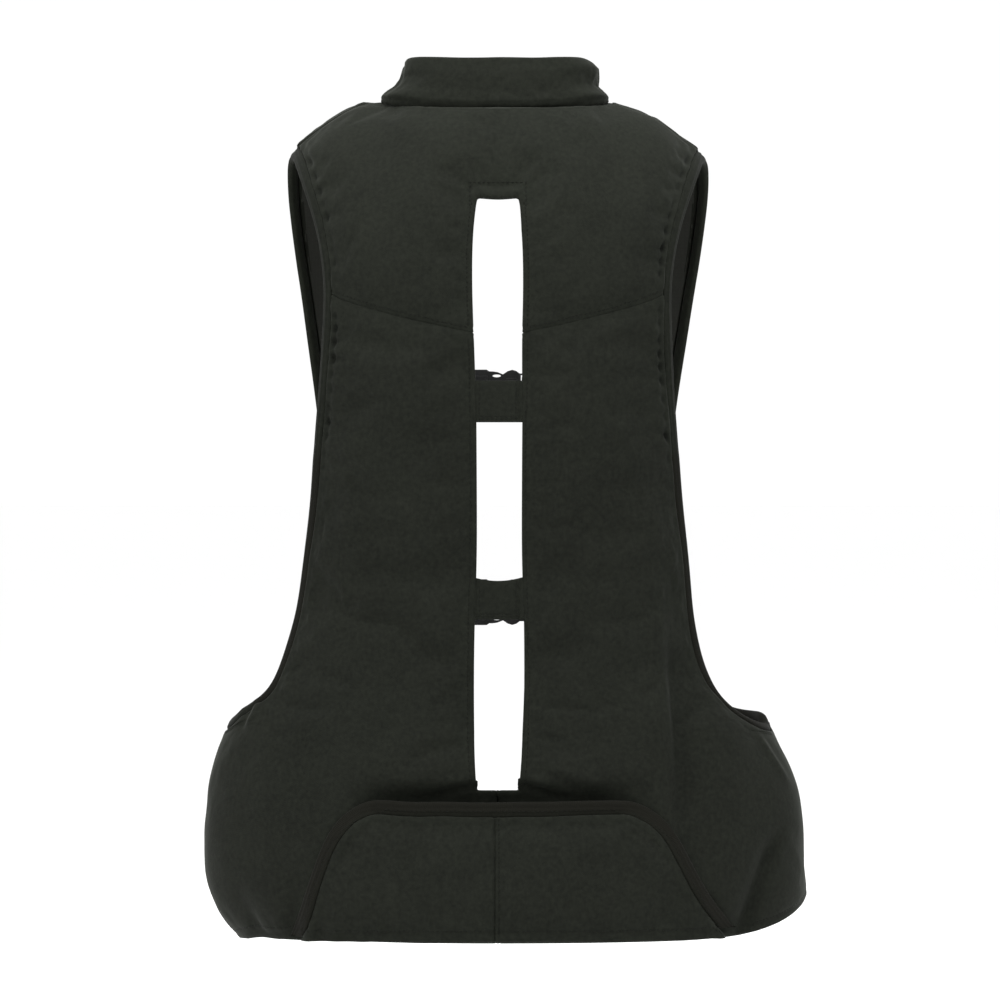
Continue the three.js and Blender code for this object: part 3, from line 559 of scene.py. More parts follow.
def calmNeck(piece):
    spec = neckSpec
    x, y, z = places(piece).T / mm
    corners = np.array(spec["line"])
    foot = np.concatenate([np.linspace(a, b, spec["steps"]) for a, b in zip(corners, corners[1:])])
    loose = (np.abs(x) < spec["x"]) & (y > spec["y"]) & (z > spec["z"])
    loose &= gapTo(np.stack([np.abs(x), y, z], axis=1), foot) > spec["kept"]
    pick(piece)
    for part in (*piece.data.edges, *piece.data.polygons):
        part.select = False
    piece.data.vertices.foreach_set("select", loose)
    bpy.ops.object.mode_set(mode="EDIT")
    bpy.ops.mesh.select_mode(type="VERT")
    bpy.ops.mesh.vertices_smooth(factor=0.5, repeat=spec["repeat"])
    bpy.ops.object.mode_set(mode="OBJECT")


def makePad(nodeName, pieceName, cap):
    piece = copyNode(nodeName, pieceName)
    if pieceName.startswith("front"):
        calmNeck(piece)
    edges = rimOf(piece)
    smoothSteps(piece, padSpec["firstSteps"])
    puffUp(piece, edges["rim"], cap)
    smoothSteps(piece, padSpec["lastSteps"])
    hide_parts(nodeName)
    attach(piece, "root")
    return {"piece": piece, **edges}


def dress(piece, shell, lining, rim=()):
    # shell cloth outside and round the edges, lining on the body side
    mesh = piece.data
    mesh.materials.append(shell)
    mesh.materials.append(lining)
    centres = rowsOf(mesh.polygons, "center")
    facing = (rowsOf(mesh.polygons, "normal") * outward(centres)).sum(1)
    inside = (facing < padSpec["bodySide"]) & (gapTo(centres, rim) > padSpec["turnIn"])
    mesh.polygons.foreach_set("material_index", inside.astype(np.int32))
    mesh.polygons.foreach_set("use_smooth", np.ones(len(mesh.polygons), bool))
    mesh.update()


floor = makeStage()
print("stage: camera, light and floor")

shellCloth = clothMaterial()
meshLining = wovenMaterial("meshLining", liningSpec)
bindingTape = tapeMaterial()
webbing = wovenMaterial("webbing", webbingSpec)
bucklePlastic = plainMaterial("bucklePlastic", plasticSpec)
sewingThread = plainMaterial("sewingThread", threadSpec)
floor.data.materials.append(plainMaterial("paleFloor", floorSpec))
print("stage: materials")

padList = [
    {"node": "back_panel_left", "piece": "backPanelLeft", "cap": 3.0 * mm, "fill": 0.5},
    {"node": "back_panel_right", "piece": "backPanelRight", "cap": 3.0 * mm, "fill": 0.5},
    {"node": "yoke", "piece": "yokePanel", "cap": 2.5 * mm, "fill": 0.45},
    {"node": "front_panel_left", "piece": "frontPanelLeft", "cap": 2.5 * mm, "fill": 0.5},
    {"node": "front_panel_right", "piece": "frontPanelRight", "cap": 2.5 * mm, "fill": 0.5},
    {"node": "collar", "piece": "collarStand", "cap": 0.8 * mm, "fill": 0.4},
    {"node": "lumbar_panel", "piece": "lumbarPatch", "cap": 2.0 * mm, "fill": 0.4},
]
pads = {}
for entry in padList:
    pads[entry["piece"]] = makePad(entry["node"], entry["piece"], entry["cap"])
print("stage: padded panels")


# edges of the panels, told apart by place (mm) and direction
edgeAt = {
    "backSeam": -178.0, "backSeamHalf": 116.0, "yokeSeam": -136.0,
    "slotHalf": 22.0, "slotFoot": -491.0, "slotTop": -77.0,
    "slotEnd": -75.5, "slotEndHalf": 18.0, "slotEndReach": 4.0,
    "centreHalf": 4.0, "centreTop": -489.0, "frontHalf": 48.0,
    "backHem": -560.0, "frontHem": -525.0, "lumbarHem": -570.0, "lumbarHalf": 168.0,
    "sideReach": 7.0, "armholeFoot": -450.0, "armholeHalf": 60.0, "yokeArmholeHalf": 90.0,
    "ridgeHalf": 79.0, "yokeRidge": (-42.0, -18.0), "frontRidge": (-45.0, 8.0),    # over z, bounded by y
    "neckHalf": 82.0, "yokeNeck": -16.0, "frontNeck": -68.0,
}
collarLine = {"y": (-64.0, -6.0, 70.0), "z": (-8.0, 1.0, -62.0), "above": 9.0}


def edgeParts(pad):
    x, y, z = pad["rim"].T / mm
    wx, wy, wz = np.abs(pad["way"].T)
    return np.abs(x), y, z, np.hypot(wx, wy) > wz


def backEdges(pad):
    wide, y, z, level = edgeParts(pad)
    seam = (z > edgeAt["backSeam"]) & level & (wide < edgeAt["backSeamHalf"])
    return {
        "seam": seam,
        "slot": (wide < edgeAt["slotHalf"]) & (z > edgeAt["slotFoot"]) & ~level,
        "centre": (wide < edgeAt["centreHalf"]) & (z < edgeAt["centreTop"]),
        "hem": (z < edgeAt["backHem"]) & level,
        "side": (np.abs(y) < edgeAt["sideReach"]) & (z < edgeAt["armholeFoot"]) & ~level,
        "armhole": (wide > edgeAt["armholeHalf"]) & (z > edgeAt["armholeFoot"]) & ~seam,
    }


def yokeEdges(pad):
    wide, y, z, level = edgeParts(pad)
    ridgeZ, ridgeY = edgeAt["yokeRidge"]
    seam = (z < edgeAt["yokeSeam"]) & level
    ridge = (wide > edgeAt["ridgeHalf"]) & (z > ridgeZ) & (y > ridgeY)
    neck = (z > edgeAt["yokeNeck"]) & (wide < edgeAt["neckHalf"]) & ~ridge
    nearEnd = np.abs(z - edgeAt["slotEnd"]) < edgeAt["slotEndReach"]
    return {
        "seam": seam,
        "slot": (wide < edgeAt["slotHalf"]) & (z < edgeAt["slotTop"]) & ~level,
        "slotEnd": (wide < edgeAt["slotEndHalf"]) & nearEnd & level,
        "neck": neck,
        "ridge": ridge,
        "armhole": (wide > edgeAt["yokeArmholeHalf"]) & ~seam & ~ridge & ~neck,
    }


def frontEdges(pad):
    wide, y, z, level = edgeParts(pad)
    ridgeZ, ridgeY = edgeAt["frontRidge"]
    ridge = (wide > edgeAt["ridgeHalf"]) & (z > ridgeZ) & (y < ridgeY)
    neck = (z > edgeAt["frontNeck"]) & (wide < edgeAt["neckHalf"]) & ~ridge
    centre = (wide < edgeAt["frontHalf"]) & ~neck & ~level
    above = (wide > edgeAt["armholeHalf"]) & (z > edgeAt["armholeFoot"])
    return {
        "ridge": ridge,
        "neck": neck,
        "centre": centre,
        "hem": (z < edgeAt["frontHem"]) & level,
        "side": (np.abs(y) < edgeAt["sideReach"]) & (z < edgeAt["armholeFoot"]) & ~level,
        "armhole": above & ~ridge & ~neck & ~centre,
    }


def collarEdges(pad):
    _, y, z, _ = edgeParts(pad)
    return {"foot": z < np.interp(y, collarLine["y"], collarLine["z"]) + collarLine["above"]}


def lumbarEdges(pad):
    wide, _, z, level = edgeParts(pad)
    hem = (z < edgeAt["lumbarHem"]) & level & (wide < edgeAt["lumbarHalf"])
    return {"hem": hem, "taped": ~hem}


edgeKinds = {
    "backPanelLeft": backEdges,
    "backPanelRight": backEdges,
    "yokePanel": yokeEdges,
    "frontPanelLeft": frontEdges,
    "frontPanelRight": frontEdges,
    "collarStand": collarEdges,
    "lumbarPatch": lumbarEdges,
}
for name, pad in pads.items():
    pad["edges"] = {kind: pad["rim"][mask] for kind, mask in edgeKinds[name](pad).items()}


# relief of the cloth, in mm along its normal
gatherSpec = {
    "top": -48.0,
    "bottom": -440.0,
    "step": (9.0, 14.0),
    "depth": (0.5, 1.2),
    "slant": 0.4,
    "pit": 2.1,
    "pitWidth": 3.8,
    "pitAt": 4.2,
    "pitReach": 2.2,
    "puff": 1.2,
    "puffAt": 8.5,
    "puffReach": 5.5,
    "tail": 0.7,
    "tailReach": (7.0, 20.0),
    "tailSpread": 0.08,
    "tailFrom": (2.0, 6.0),
    "heights": (-265.0, -242.0, -159.0, -150.0, -138.0, -126.0, -78.0, -62.0, -30.0),
    "Left": (0.18, 1.0, 1.0, 0.1, 0.1, 0.6, 0.8, 1.0, 0.6),
    "Right": (0.18, 1.0, 1.0, 0.1, 0.1, 1.1, 0.9, 0.8, 0.5),
    "shade": 0.7,    # depth at which a pit takes as much painted shade as a fold, mm
    "foldShade": 5.0,
    "darkest": 2.2,
    "frontShare": 0.7,
    "frontDraw": 2,
}
gatherSeeds = {"Left": 11, "Right": 23}
sideSigns = {"Left": -1, "Right": 1}
foldTaper = {"start": (-0.15, 0.3), "end": (0.7, 1.15)}
waveSizes = (55 * mm, 19 * mm)
outerFace = (0.05, 0.5)    # how far a normal points outward where the relief sets in and is full
seamSpec = {"reach": 1.3, "near": 15 * mm, "deep": (0.4, 2.6), "facing": (0.45, 0.85)}


def gatherLift(points, edge, side, extra=0):
    # the cloth is eased into the armhole edge: a pit at each pucker, a small puff between
    spec = gatherSpec
    chance = random.Random(gatherSeeds[side] + extra)
    inset = gapTo(points, edge) / mm
    z = points[:, 2] / mm
    pits = np.zeros(len(points))
    tails = np.zeros(len(points))
    height = spec["top"]
    while height > spec["bottom"]:
        depth = chance.uniform(*spec["depth"])
        slant = chance.uniform(-spec["slant"], spec["slant"])
        reach = chance.uniform(*spec["tailReach"])
        away = z - height - slant * inset
        pits = np.maximum(pits, depth * bell(away, spec["pitWidth"]))
        tails += depth * bell(away, spec["pitWidth"] + spec["tailSpread"] * inset) * np.exp(-inset / reach)
        height -= chance.uniform(*spec["step"])
    strength = np.interp(z, spec["heights"], spec[side])
    puff = spec["puff"] * (1 - pits) * bell(inset - spec["puffAt"], spec["puffReach"])
    pit = spec["pit"] * pits * bell(inset - spec["pitAt"], spec["pitReach"])
    tail = spec["tail"] * tails * ease(inset, *spec["tailFrom"])
    return strength * (puff - pit - tail)


def sewnLift(points, edges, lines):
    # ditches that run beside the edges, and rolls where the depth is negative
    lift = np.zeros(len(points))
    for kind, inset, depth, width in lines:
        lift -= depth * bell(gapTo(points, edges[kind]) / mm - inset, width)
    return lift


def foldLift(points, folds):
    # soft folds and wrinkles, each along a line seen from behind
    x, _, z = points.T / mm
    lift = np.zeros(len(points))
    for fold in folds:
        (x0, z0), (x1, z1) = fold["start"], fold["end"]
        length = math.hypot(x1 - x0, z1 - z0)
        ax, az = (x1 - x0) / length, (z1 - z0) / length
        along = ((x - x0) * ax + (z - z0) * az) / length
        bow = fold.get("bow", 0.0) * np.sin(np.pi * np.clip(along, 0, 1))
        across = (x - x0) * az - (z - z0) * ax + bow
        taper = ease(along, *foldTaper["start"]) * (1 - ease(along, *foldTaper["end"]))
        width = np.where(across < 0, fold.get("far", fold["width"]), fold["width"])
        lift += fold["lift"] * taper * bell(across, width)
    return lift


def undulate(points, seed, broad, fine):
    broadSize, fineSize = waveSizes
    return broad * wobble(points, broadSize, seed) + fine * wobble(points, fineSize, seed + 5)


def raiseCloth(pad, liftOf):
    # moves the outer cloth along its normal, fading out round the edges
    piece = pad["piece"]
    points, ways = places(piece), normals(piece)
    outside = ease((ways * outward(points)).sum(1), *outerFace)
    lift = liftOf(points) * outside * mm
    setPlaces(piece, points + ways * lift[:, None])


def closeSeam(pad, kind, way, reach):
    # the middle of a sewn edge reaches into its neighbour, so no light comes through
    spec = seamSpec
    piece = pad["piece"]
    points, ways = places(piece), normals(piece)
    deep = np.minimum(gapTo(points, pad["rim"]), gapTo(points, pad["inside"])) / mm
    near = gapTo(points, pad["edges"][kind]) < spec["near"]
    push = reach * ease(deep, *spec["deep"]) * ease(ways @ np.array(way), *spec["facing"]) * near
    setPlaces(piece, points + ways * push[:, None] * mm)


backFolds = {
    "Left": [
        {"start": (-139, -548), "end": (-141, -590), "lift": -1.6, "width": 7.0},
        {"start": (-184, -562), "end": (-166, -592), "lift": -0.8, "width": 8.0},
        {"start": (-156, -540), "end": (-158, -592), "lift": 0.4, "width": 8.0},
        {"start": (-150, -430), "end": (-120, -520), "lift": -0.9, "width": 12.0, "bow": 6.0},
        {"start": (-16, -486), "end": (-48, -496), "lift": -1.4, "width": 2.6},
        {"start": (-24, -482), "end": (-60, -493), "lift": 0.9, "width": 3.2},
        {"start": (-168, -437), "end": (-178, -456), "lift": 1.8, "width": 2.6},
        {"start": (-174, -440), "end": (-183, -458), "lift": -1.6, "width": 2.6},
    ],
    "Right": [
        {"start": (111, -345), "end": (114, -520), "lift": 2.0, "width": 11.0, "far": 6.0, "bow": 2.0},
        {"start": (121, -392), "end": (128, -532), "lift": -4.6, "width": 4.6, "far": 13.0, "bow": 2.0},
        {"start": (158, -425), "end": (130, -468), "lift": 1.6, "width": 7.0},
        {"start": (182, -452), "end": (207, -490), "lift": 1.6, "width": 2.2},
        {"start": (150, -420), "end": (168, -500), "lift": 1.2, "width": 13.0, "bow": 5.0},
        {"start": (200, -520), "end": (169, -598), "lift": -5.2, "width": 8.0, "far": 4.5},
        {"start": (146, -560), "end": (157, -588), "lift": -2.4, "width": 4.5},
        {"start": (16, -484), "end": (44, -497), "lift": -1.5, "width": 2.4},
        {"start": (22, -480), "end": (54, -494), "lift": 1.4, "width": 2.6},
        {"start": (30, -477), "end": (62, -489), "lift": -1.1, "width": 2.8},
        {"start": (40, -474), "end": (74, -486), "lift": 0.9, "width": 3.2},
    ],
}
yokeFolds = [
    {"start": (20, -74), "end": (70, -30), "lift": -0.6, "width": 7.0, "bow": 3.0},
    {"start": (34, -80), "end": (84, -44), "lift": 0.5, "width": 7.0},
    {"start": (-22, -76), "end": (-72, -34), "lift": -0.5, "width": 7.0, "bow": -3.0},
    {"start": (-128, -60), "end": (-96, -140), "lift": 0.7, "width": 9.0, "bow": 5.0},
    {"start": (126, -70), "end": (100, -135), "lift": 0.6, "width": 9.0, "bow": -4.0},
]
collarCrease = [{"start": (-67.0, 30.0), "end": (-71.5, -2.0), "lift": -1.6, "width": 2.2}]

# sewn lines: edge, inset from it, depth and width, mm; seams: the way in which each is closed;
# waves: seed, height of the broad and of the fine ones, mm
stitchInset = {"slot": 2.3, "hem": 6.0, "armhole": 2.2, "centre": 4.0, "seam": 2.6, "tape": 2.4}
slotDitch = ("slot", stitchInset["slot"], 0.5, 1.2)
hemDitch = ("hem", stitchInset["hem"], 0.6, 1.4)
seamDitch = ("seam", 0.0, 0.7, 2.0)
backWork = {
    "lines": [seamDitch, ("seam", 8.0, -0.35, 5.0), slotDitch, hemDitch],
    "seams": {
        "Left": {"seam": (0, 0, 1), "centre": (1, 0, 0), "side": (0, 1, 0)},
        "Right": {"seam": (0, 0, 1), "centre": (-1, 0, 0), "side": (0, 1, 0)},
    },
    "waves": {"Left": (11, 0.8, 0.3), "Right": (23, 0.8, 0.3)},
}
yokeWork = {
    "lines": [seamDitch, ("seam", stitchInset["seam"], 0.4, 1.2), ("seam", 10.0, -0.35, 5.0), slotDitch,
              ("slotEnd", 9.0, 0.6, 1.3), ("neck", 0.0, 3.4, 3.6)],
    "seams": {"seam": (0, 0, -1), "ridge": (0, 1, 0), "neck": (0, 0.62, 0.78)},
    "waves": (3, 0.8, 0.3),
}
frontWork = {
    "lines": [("centre", stitchInset["centre"], 0.6, 1.3), hemDitch, ("neck", 0.0, 4.0, 6.0)],
    "seams": {"ridge": (0, -1, 0), "side": (0, -1, 0), "neck": (0, -0.35, 0.93)},
    "waves": {"Left": (18, 0.9, 0.3), "Right": (30, 0.9, 0.3)},
}
collarWork = {
    "lines": [("foot", 0.0, 0.8, 2.0), ("foot", 5.0, -2.0, 4.0)],
    "seams": {"foot": (0, 0, -1)},
    "reach": 4.0,
    "waves": (9, 0.35, 0.2),
}
lumbarWork = {
    "lines": [("taped", 2.0, -1.0, 4.0), hemDitch],
    "waves": (15, 0.8, 0.3),
    "seamAt": -2.2,
    "seamDepth": 1.3,
    "seamWidth": 0.6,
    "puff": 0.3,
    "puffAt": -5.0,
    "puffWidth": 4.0,
    "loops": (-1.4, -0.7, 0.0, 0.7, 1.4),
    "stitchAt": 0.7,
}


def workCloth(pad, lines, waves, lift):
    edges = pad["edges"]
    raiseCloth(pad, lambda p: lift(p) + sewnLift(p, edges, lines) + undulate(p, *waves))


def closeSeams(pad, seams, reach=seamSpec["reach"]):
    for kind, way in seams.items():
        closeSeam(pad, kind, way, reach)


tuckSpec = {"depth": 11.0, "top": -481.0, "full": -507.0, "rise": (-555.0, -530.0), "x": (52.0, 118.0)}


def tuckUnder(pad):
    # the back falls in behind the free top edge of the lumbar patch
    spec = tuckSpec
    piece = pad["piece"]
    points = places(piece)
    x, _, z = points.T / mm
    depth = spec["depth"] * (1 - ease(np.abs(x), *spec["x"]))
    depth *= (1 - ease(z, spec["full"], spec["top"])) * ease(z, *spec["rise"])
    points[:, 1] += depth * mm
    setPlaces(piece, points)


# the collar leans out at its foot on the left and stands straight on the right, with round top corners
collarSides = {
    "z": (0.0, 4.0, 8.0, 14.0, 21.0, 25.0, 29.0),
    "left": (-9.0, -6.0, -3.4, -0.7, -1.0, -1.0, 0.5),
    "right": (4.5, 1.2, -0.4, 2.0, 4.2, 1.6, -3.5),
    "x": (35.0, 66.0),
    "behind": (-5.0, 25.0),
    "rise": 1.2,
    "riseZ": (-2.0, 26.0),
}
collarCorner = {"drop": 0.8, "x": (56.0, 70.0), "z": (12.0, 27.0)}    # on the right only
collarFoot = {"sag": 1.6, "wide": 45.0, "ends": 1.6, "x": (42.0, 68.0), "z": (-4.0, 12.0)}


def shapeCollar(piece):
    points = places(piece)
    x, y, z = points.T / mm
    spec = collarSides
    left, right = (np.interp(z, spec["z"], spec[side]) for side in ("left", "right"))
    behind = 1 - ease(y, *spec["behind"])
    points[:, 0] += np.where(x < 0, left, right) * ease(np.abs(x), *spec["x"]) * behind * mm
    points[:, 2] += spec["rise"] * ease(z, *spec["riseZ"]) * behind * mm
    spec = collarCorner
    points[:, 2] -= spec["drop"] * ease(x, *spec["x"]) * ease(z, *spec["z"]) * behind * mm
    spec = collarFoot
    foot = spec["ends"] * ease(np.abs(x), *spec["x"]) - spec["sag"] * bell(x, spec["wide"])
    points[:, 2] += foot * (1 - ease(z, *spec["z"])) * behind * mm
    setPlaces(piece, points)


def cutAt(piece, cuts):
    # extra loops at given x, for a fine seam
    pick(piece)
    bpy.ops.object.mode_set(mode="EDIT")
    for x in cuts:
        bpy.ops.mesh.select_all(action="SELECT")
        bpy.ops.mesh.bisect(plane_co=(x * mm, 0, 0), plane_no=(1, 0, 0))
    bpy.ops.object.mode_set(mode="OBJECT")


# the hem of the left wing hangs level to its corner, and that of the right wing comes to a point
hemLine = {
    "x": (-196.0, -184.0, -177.0, -166.0, -154.0, -140.0, -100.0, 130.0, 150.0, 170.0, 186.0, 200.0),
    "shift": (0.0, -1.6, -3.9, -4.2, -4.6, -4.2, -2.3, -2.2, -1.8, -1.6, -0.6, 0.0),
    "y": (20.0, 85.0),
    "z": (-588.0, -555.0),
    "sideReach": 40.0,
}
hemCorner = {    # at the left side seam
    "x": -150.0,
    "reach": 15.0,
    "up": 4.0,
    "sag": 8.0,
    "sagX": (40.0, 150.0),
    "sagFrom": (9.0, 42.0),
    "sagTo": (60.0, 112.0),
    "bulge": 2.2,
    "bulgeAt": -586.0,
    "bulgeReach": 9.0,
}
hemPoint = {"x": 214.0, "z": -567.0, "reach": 16.0, "out": 3.0, "down": 3.0}
rimLift = {
    "frontY": ((-1.0, 16.0), (35.0, 75.0)),
    "backY": (-4.0, 4.0),
    "z": -444.0,
    "reach": 34.0,
    "left": {"x": (150, 165, 190), "rise": (0.0, 1.5, 0.0)},
    "leftBack": {"x": (156, 165, 172, 182, 190, 200), "rise": (0.0, 4.5, 7.0, 7.5, 5.5, 0.0)},
    "right": {"x": (148, 157, 167, 178, 189), "rise": (0.0, -2.6, -1.0, 2.8, 6.0)},
}
sideTip = {"x": (180.0, 192.0), "z": -440.0, "reach": 22.0, "down": 2.4}    # on the left only
spreadSpec = {"out": 1.3, "x": (70.0, 105.0), "z": (-385.0, -335.0)}
neckTip = {"x": 84.0, "z": -4.0, "reach": 11.0, "down": 1.4}
shoulderTip = {"x": 150.0, "z": -42.0, "reach": 20.0, "out": -0.6, "up": 1.0}
slotLine = {
    "heights": (-496.0, -489.0, -450.0, -420.0, -375.0, -343.0, -232.0, -170.0, -100.0, -84.0),
    "left": (0.0, 0.5, 1.2, 1.2, 1.2, 1.4, 1.4, 0.5, 0.0, 0.0),
    "right": (0.0, -0.8, -0.6, 0.4, 0.8, 0.6, 0.6, -0.6, -0.7, 0.0),
    "x": (22.0, 48.0),
}


def tipBell(spec, x, z):
    return bell(np.hypot(x - spec["x"], z - spec["z"]), spec["reach"])


def shapeHem(piece):
    points = places(piece)
    x, y, z = points.T / mm
    low = 1 - ease(z, *hemLine["z"])
    shift = np.interp(x, hemLine["x"], hemLine["shift"])
    points[:, 2] += shift * low * (1 - ease(y, *hemLine["y"])) * mm
    nearSide = bell(y, hemLine["sideReach"])
    spec = hemCorner
    corner = x < spec["x"]
    sag = spec["sag"] * ease(y, *spec["sagFrom"]) * (1 - ease(y, *spec["sagTo"])) * ease(-x, *spec["sagX"])
    rise = spec["up"] * bell(y, spec["reach"]) - sag
    points[:, 2] += rise * low * np.where(y > 0, x < 0, corner) * mm
    points[:, 0] -= spec["bulge"] * bell(z - spec["bulgeAt"], spec["bulgeReach"]) * nearSide * corner * mm
    tip = tipBell(hemPoint, x, z) * nearSide
    points[:, 0] += hemPoint["out"] * tip * mm
    points[:, 2] -= hemPoint["down"] * tip * mm
    setPlaces(piece, points)


def liftRim(piece):
    # the front edge of each wing stands a little above the back edge
    spec = rimLift
    points = places(piece)
    x, y, z = points.T / mm
    left, leftBack, right = (np.interp(np.abs(x), spec[part]["x"], spec[part]["rise"])
                             for part in ("left", "leftBack", "right"))
    height = bell(z - spec["z"], spec["reach"])
    start, end = spec["frontY"]
    points[:, 2] += np.where(x < 0, left, right) * ease(y, *start) * (1 - ease(y, *end)) * height * mm
    points[:, 2] += leftBack * (x < 0) * (1 - ease(y, *spec["backY"])) * height * mm
    setPlaces(piece, points)


def setSides(piece):
    # the armhole edges and shoulder tips stand out, and the left side tip hangs lower
    points = places(piece)
    x, _, z = points.T / mm
    wide = np.abs(x)
    tip = tipBell(shoulderTip, wide, z)
    spread = spreadSpec["out"] * ease(wide, *spreadSpec["x"]) * ease(z, *spreadSpec["z"])
    points[:, 0] += np.sign(x) * (spread + shoulderTip["out"] * tip) * mm
    points[:, 2] += shoulderTip["up"] * tip * mm
    points[:, 2] -= neckTip["down"] * tipBell(neckTip, wide, z) * mm
    points[:, 2] -= sideTip["down"] * ease(-x, *sideTip["x"]) * bell(z - sideTip["z"], sideTip["reach"]) * mm
    setPlaces(piece, points)


def setSlot(piece):
    # the edges of the back slot are not quite straight
    points = places(piece)
    x, y, z = points.T / mm
    left, right = (np.interp(z, slotLine["heights"], slotLine[side]) for side in ("left", "right"))
    points[:, 0] += np.where(x < 0, left, right) * (1 - ease(np.abs(x), *slotLine["x"])) * (y < 0) * mm
    setPlaces(piece, points)


# painted shade: the fold attribute paints the cloth darker in its pits and folds
def shadeFolds(piece, sunk):
    addValue(piece, "fold", np.clip(-sunk, 0, gatherSpec["darkest"]))


for side in gatherSeeds:
    pad = pads["backPanel" + side]
    piece, armhole, folds = pad["piece"], pad["edges"]["armhole"], backFolds[side]
    tuckUnder(pad)
    flat = places(piece)
    shadeFolds(piece, gatherLift(flat, armhole, side) / gatherSpec["shade"]
               + foldLift(flat, folds) / gatherSpec["foldShade"])
    workCloth(pad, backWork["lines"], backWork["waves"][side],
              lambda p: gatherLift(p, armhole, side) + foldLift(p, folds))
    closeSeams(pad, backWork["seams"][side])
    shapeHem(piece)
    liftRim(piece)
    setSides(piece)
    setSlot(piece)

pad = pads["yokePanel"]
piece, armhole = pad["piece"], pad["edges"]["armhole"]
flat = places(piece)
sunk = np.zeros(len(flat))
for side, sign in sideSigns.items():
    ownEdge = armhole[armhole[:, 0] * sign > 0]
    sunk += np.where(flat[:, 0] * sign > 0, gatherLift(flat, ownEdge, side), 0.0) / gatherSpec["shade"]
    raiseCloth(pad, lambda p: np.where(p[:, 0] * sign > 0, gatherLift(p, ownEdge, side), 0.0))
shadeFolds(piece, sunk)
workCloth(pad, yokeWork["lines"], yokeWork["waves"], lambda p: foldLift(p, yokeFolds))
closeSeams(pad, yokeWork["seams"])
setSides(piece)
setSlot(piece)

for side in gatherSeeds:
    pad = pads["frontPanel" + side]
    piece, armhole = pad["piece"], pad["edges"]["armhole"]
    workCloth(pad, frontWork["lines"], frontWork["waves"][side],
              lambda p: gatherSpec["frontShare"] * gatherLift(p, armhole, side, gatherSpec["frontDraw"]))
    closeSeams(pad, frontWork["seams"])
    shapeHem(piece)
    liftRim(piece)
    setSides(piece)

pad = pads["collarStand"]
workCloth(pad, collarWork["lines"], collarWork["waves"], lambda p: foldLift(p, collarCrease) * (p[:, 1] < 0))
closeSeams(pad, collarWork["seams"], collarWork["reach"])
shapeCollar(pad["piece"])

lumbarSet = {
    "sag": 1.4,
    "sagWide": 70.0,
    "drift": 1.6,
    "driftSize": 38.0,
    "driftSeed": 7.0,
    "topZ": (-540.0, -505.0),
    "drop": 0.8,
    "dropZ": (-592.0, -575.0),
    "over": 6.5,
    "overFoot": 2.5,
    "overX": (60.0, 112.0),
    "overZ": (-592.0, -560.0),
    "tuckLeft": 4.0,
    "tuckLeftX": (118.0, 150.0),
    "tuckRight": 6.0,
    "tuckRightX": (128.0, 162.0),
    "tuckZ": (-588.0, -545.0),
    "least": 0.05,
    "lowest": -586.0,
}
rayStart = 0.3    # in front of and behind the vest, m


def setLumbar(piece):
    # the top edge sags a little and the left leg stands further in, over the same cloth
    spec = lumbarSet
    back = surfaceOf(pads["backPanelLeft"]["piece"])
    points = places(piece)
    x, _, z = points.T / mm
    over = (spec["over"] + spec["overFoot"] * (1 - ease(z, *spec["overZ"]))) * ease(-x, *spec["overX"])
    drift = np.array([noise.noise(Vector((v / spec["driftSize"], spec["driftSeed"], 0.0))) for v in x])
    hang = spec["drift"] * drift - spec["sag"] * bell(x, spec["sagWide"])
    points[:, 2] += hang * ease(z, *spec["topZ"]) * mm
    points[:, 2] -= spec["drop"] * (1 - ease(z, *spec["dropZ"])) * mm
    tuck = spec["tuckLeft"] * ease(-x, *spec["tuckLeftX"]) + spec["tuckRight"] * ease(x, *spec["tuckRightX"])
    points[:, 1] += tuck * (1 - ease(z, *spec["tuckZ"])) * mm
    for i in np.flatnonzero(over > spec["least"]):
        height = max(points[i, 2], spec["lowest"] * mm)
        here, there = (back.ray_cast(Vector((v, -rayStart, height)), Vector((0, 1, 0)))[0]
                       for v in (points[i, 0], points[i, 0] + over[i] * mm))
        points[i, 0] += over[i] * mm
        if here is not None and there is not None:
            points[i, 1] += there.y - here.y
    setPlaces(piece, points)


def centreSeam(points):
    spec = lumbarWork
    x = points[:, 0] / mm - spec["seamAt"]
    puff = spec["puff"] * bell(x - spec["puffAt"], spec["puffWidth"])
    return puff - spec["seamDepth"] * bell(x, spec["seamWidth"])


pad = pads["lumbarPatch"]
cutAt(pad["piece"], [lumbarWork["seamAt"] + step for step in lumbarWork["loops"]])
workCloth(pad, lumbarWork["lines"], lumbarWork["waves"], centreSeam)
setLumbar(pad["piece"])
for name, pad in pads.items():
    dress(pad["piece"], shellCloth, shellCloth if name == "collarStand" else meshLining, pad["rim"])
    print("  ", name, len(pad["piece"].data.vertices), {k: len(v) for k, v in pad["edges"].items()})
print("stage: gathers, seams and folds")


# binding tape; sink makes it lie flatter than it is round, grow makes it broader, mm
tapeList = [
    {"node": "armhole_binding_left", "piece": "armholeTapeLeft", "axis": 1, "hub": (0.0, -240.0),
     "sink": 0.5, "grow": 1.3, "on": ["backPanelLeft", "yokePanel", "frontPanelLeft"]},
    {"node": "armhole_binding_right", "piece": "armholeTapeRight", "axis": 1, "hub": (0.0, -240.0),
     "sink": 0.5, "grow": 1.3, "on": ["backPanelRight", "yokePanel", "frontPanelRight"]},
    {"node": "lumbar_binding", "piece": "lumbarTape", "axis": 0, "hub": (0.0, -580.0),
     "sink": 1.6, "grow": 1.7, "on": ["lumbarPatch"]},
]
tapeShape = {
    "steps": 2,
    "outer": (0.1, 0.8),
    "edge": (0.35, 0.85),
    "growZ": (-440.0, -400.0),
    "innerBlend": 0.4,    # how far the inner edge of the lumbar tape takes on the tone of the cloth
    "innerBlendFacing": (0.0, 0.6),
}
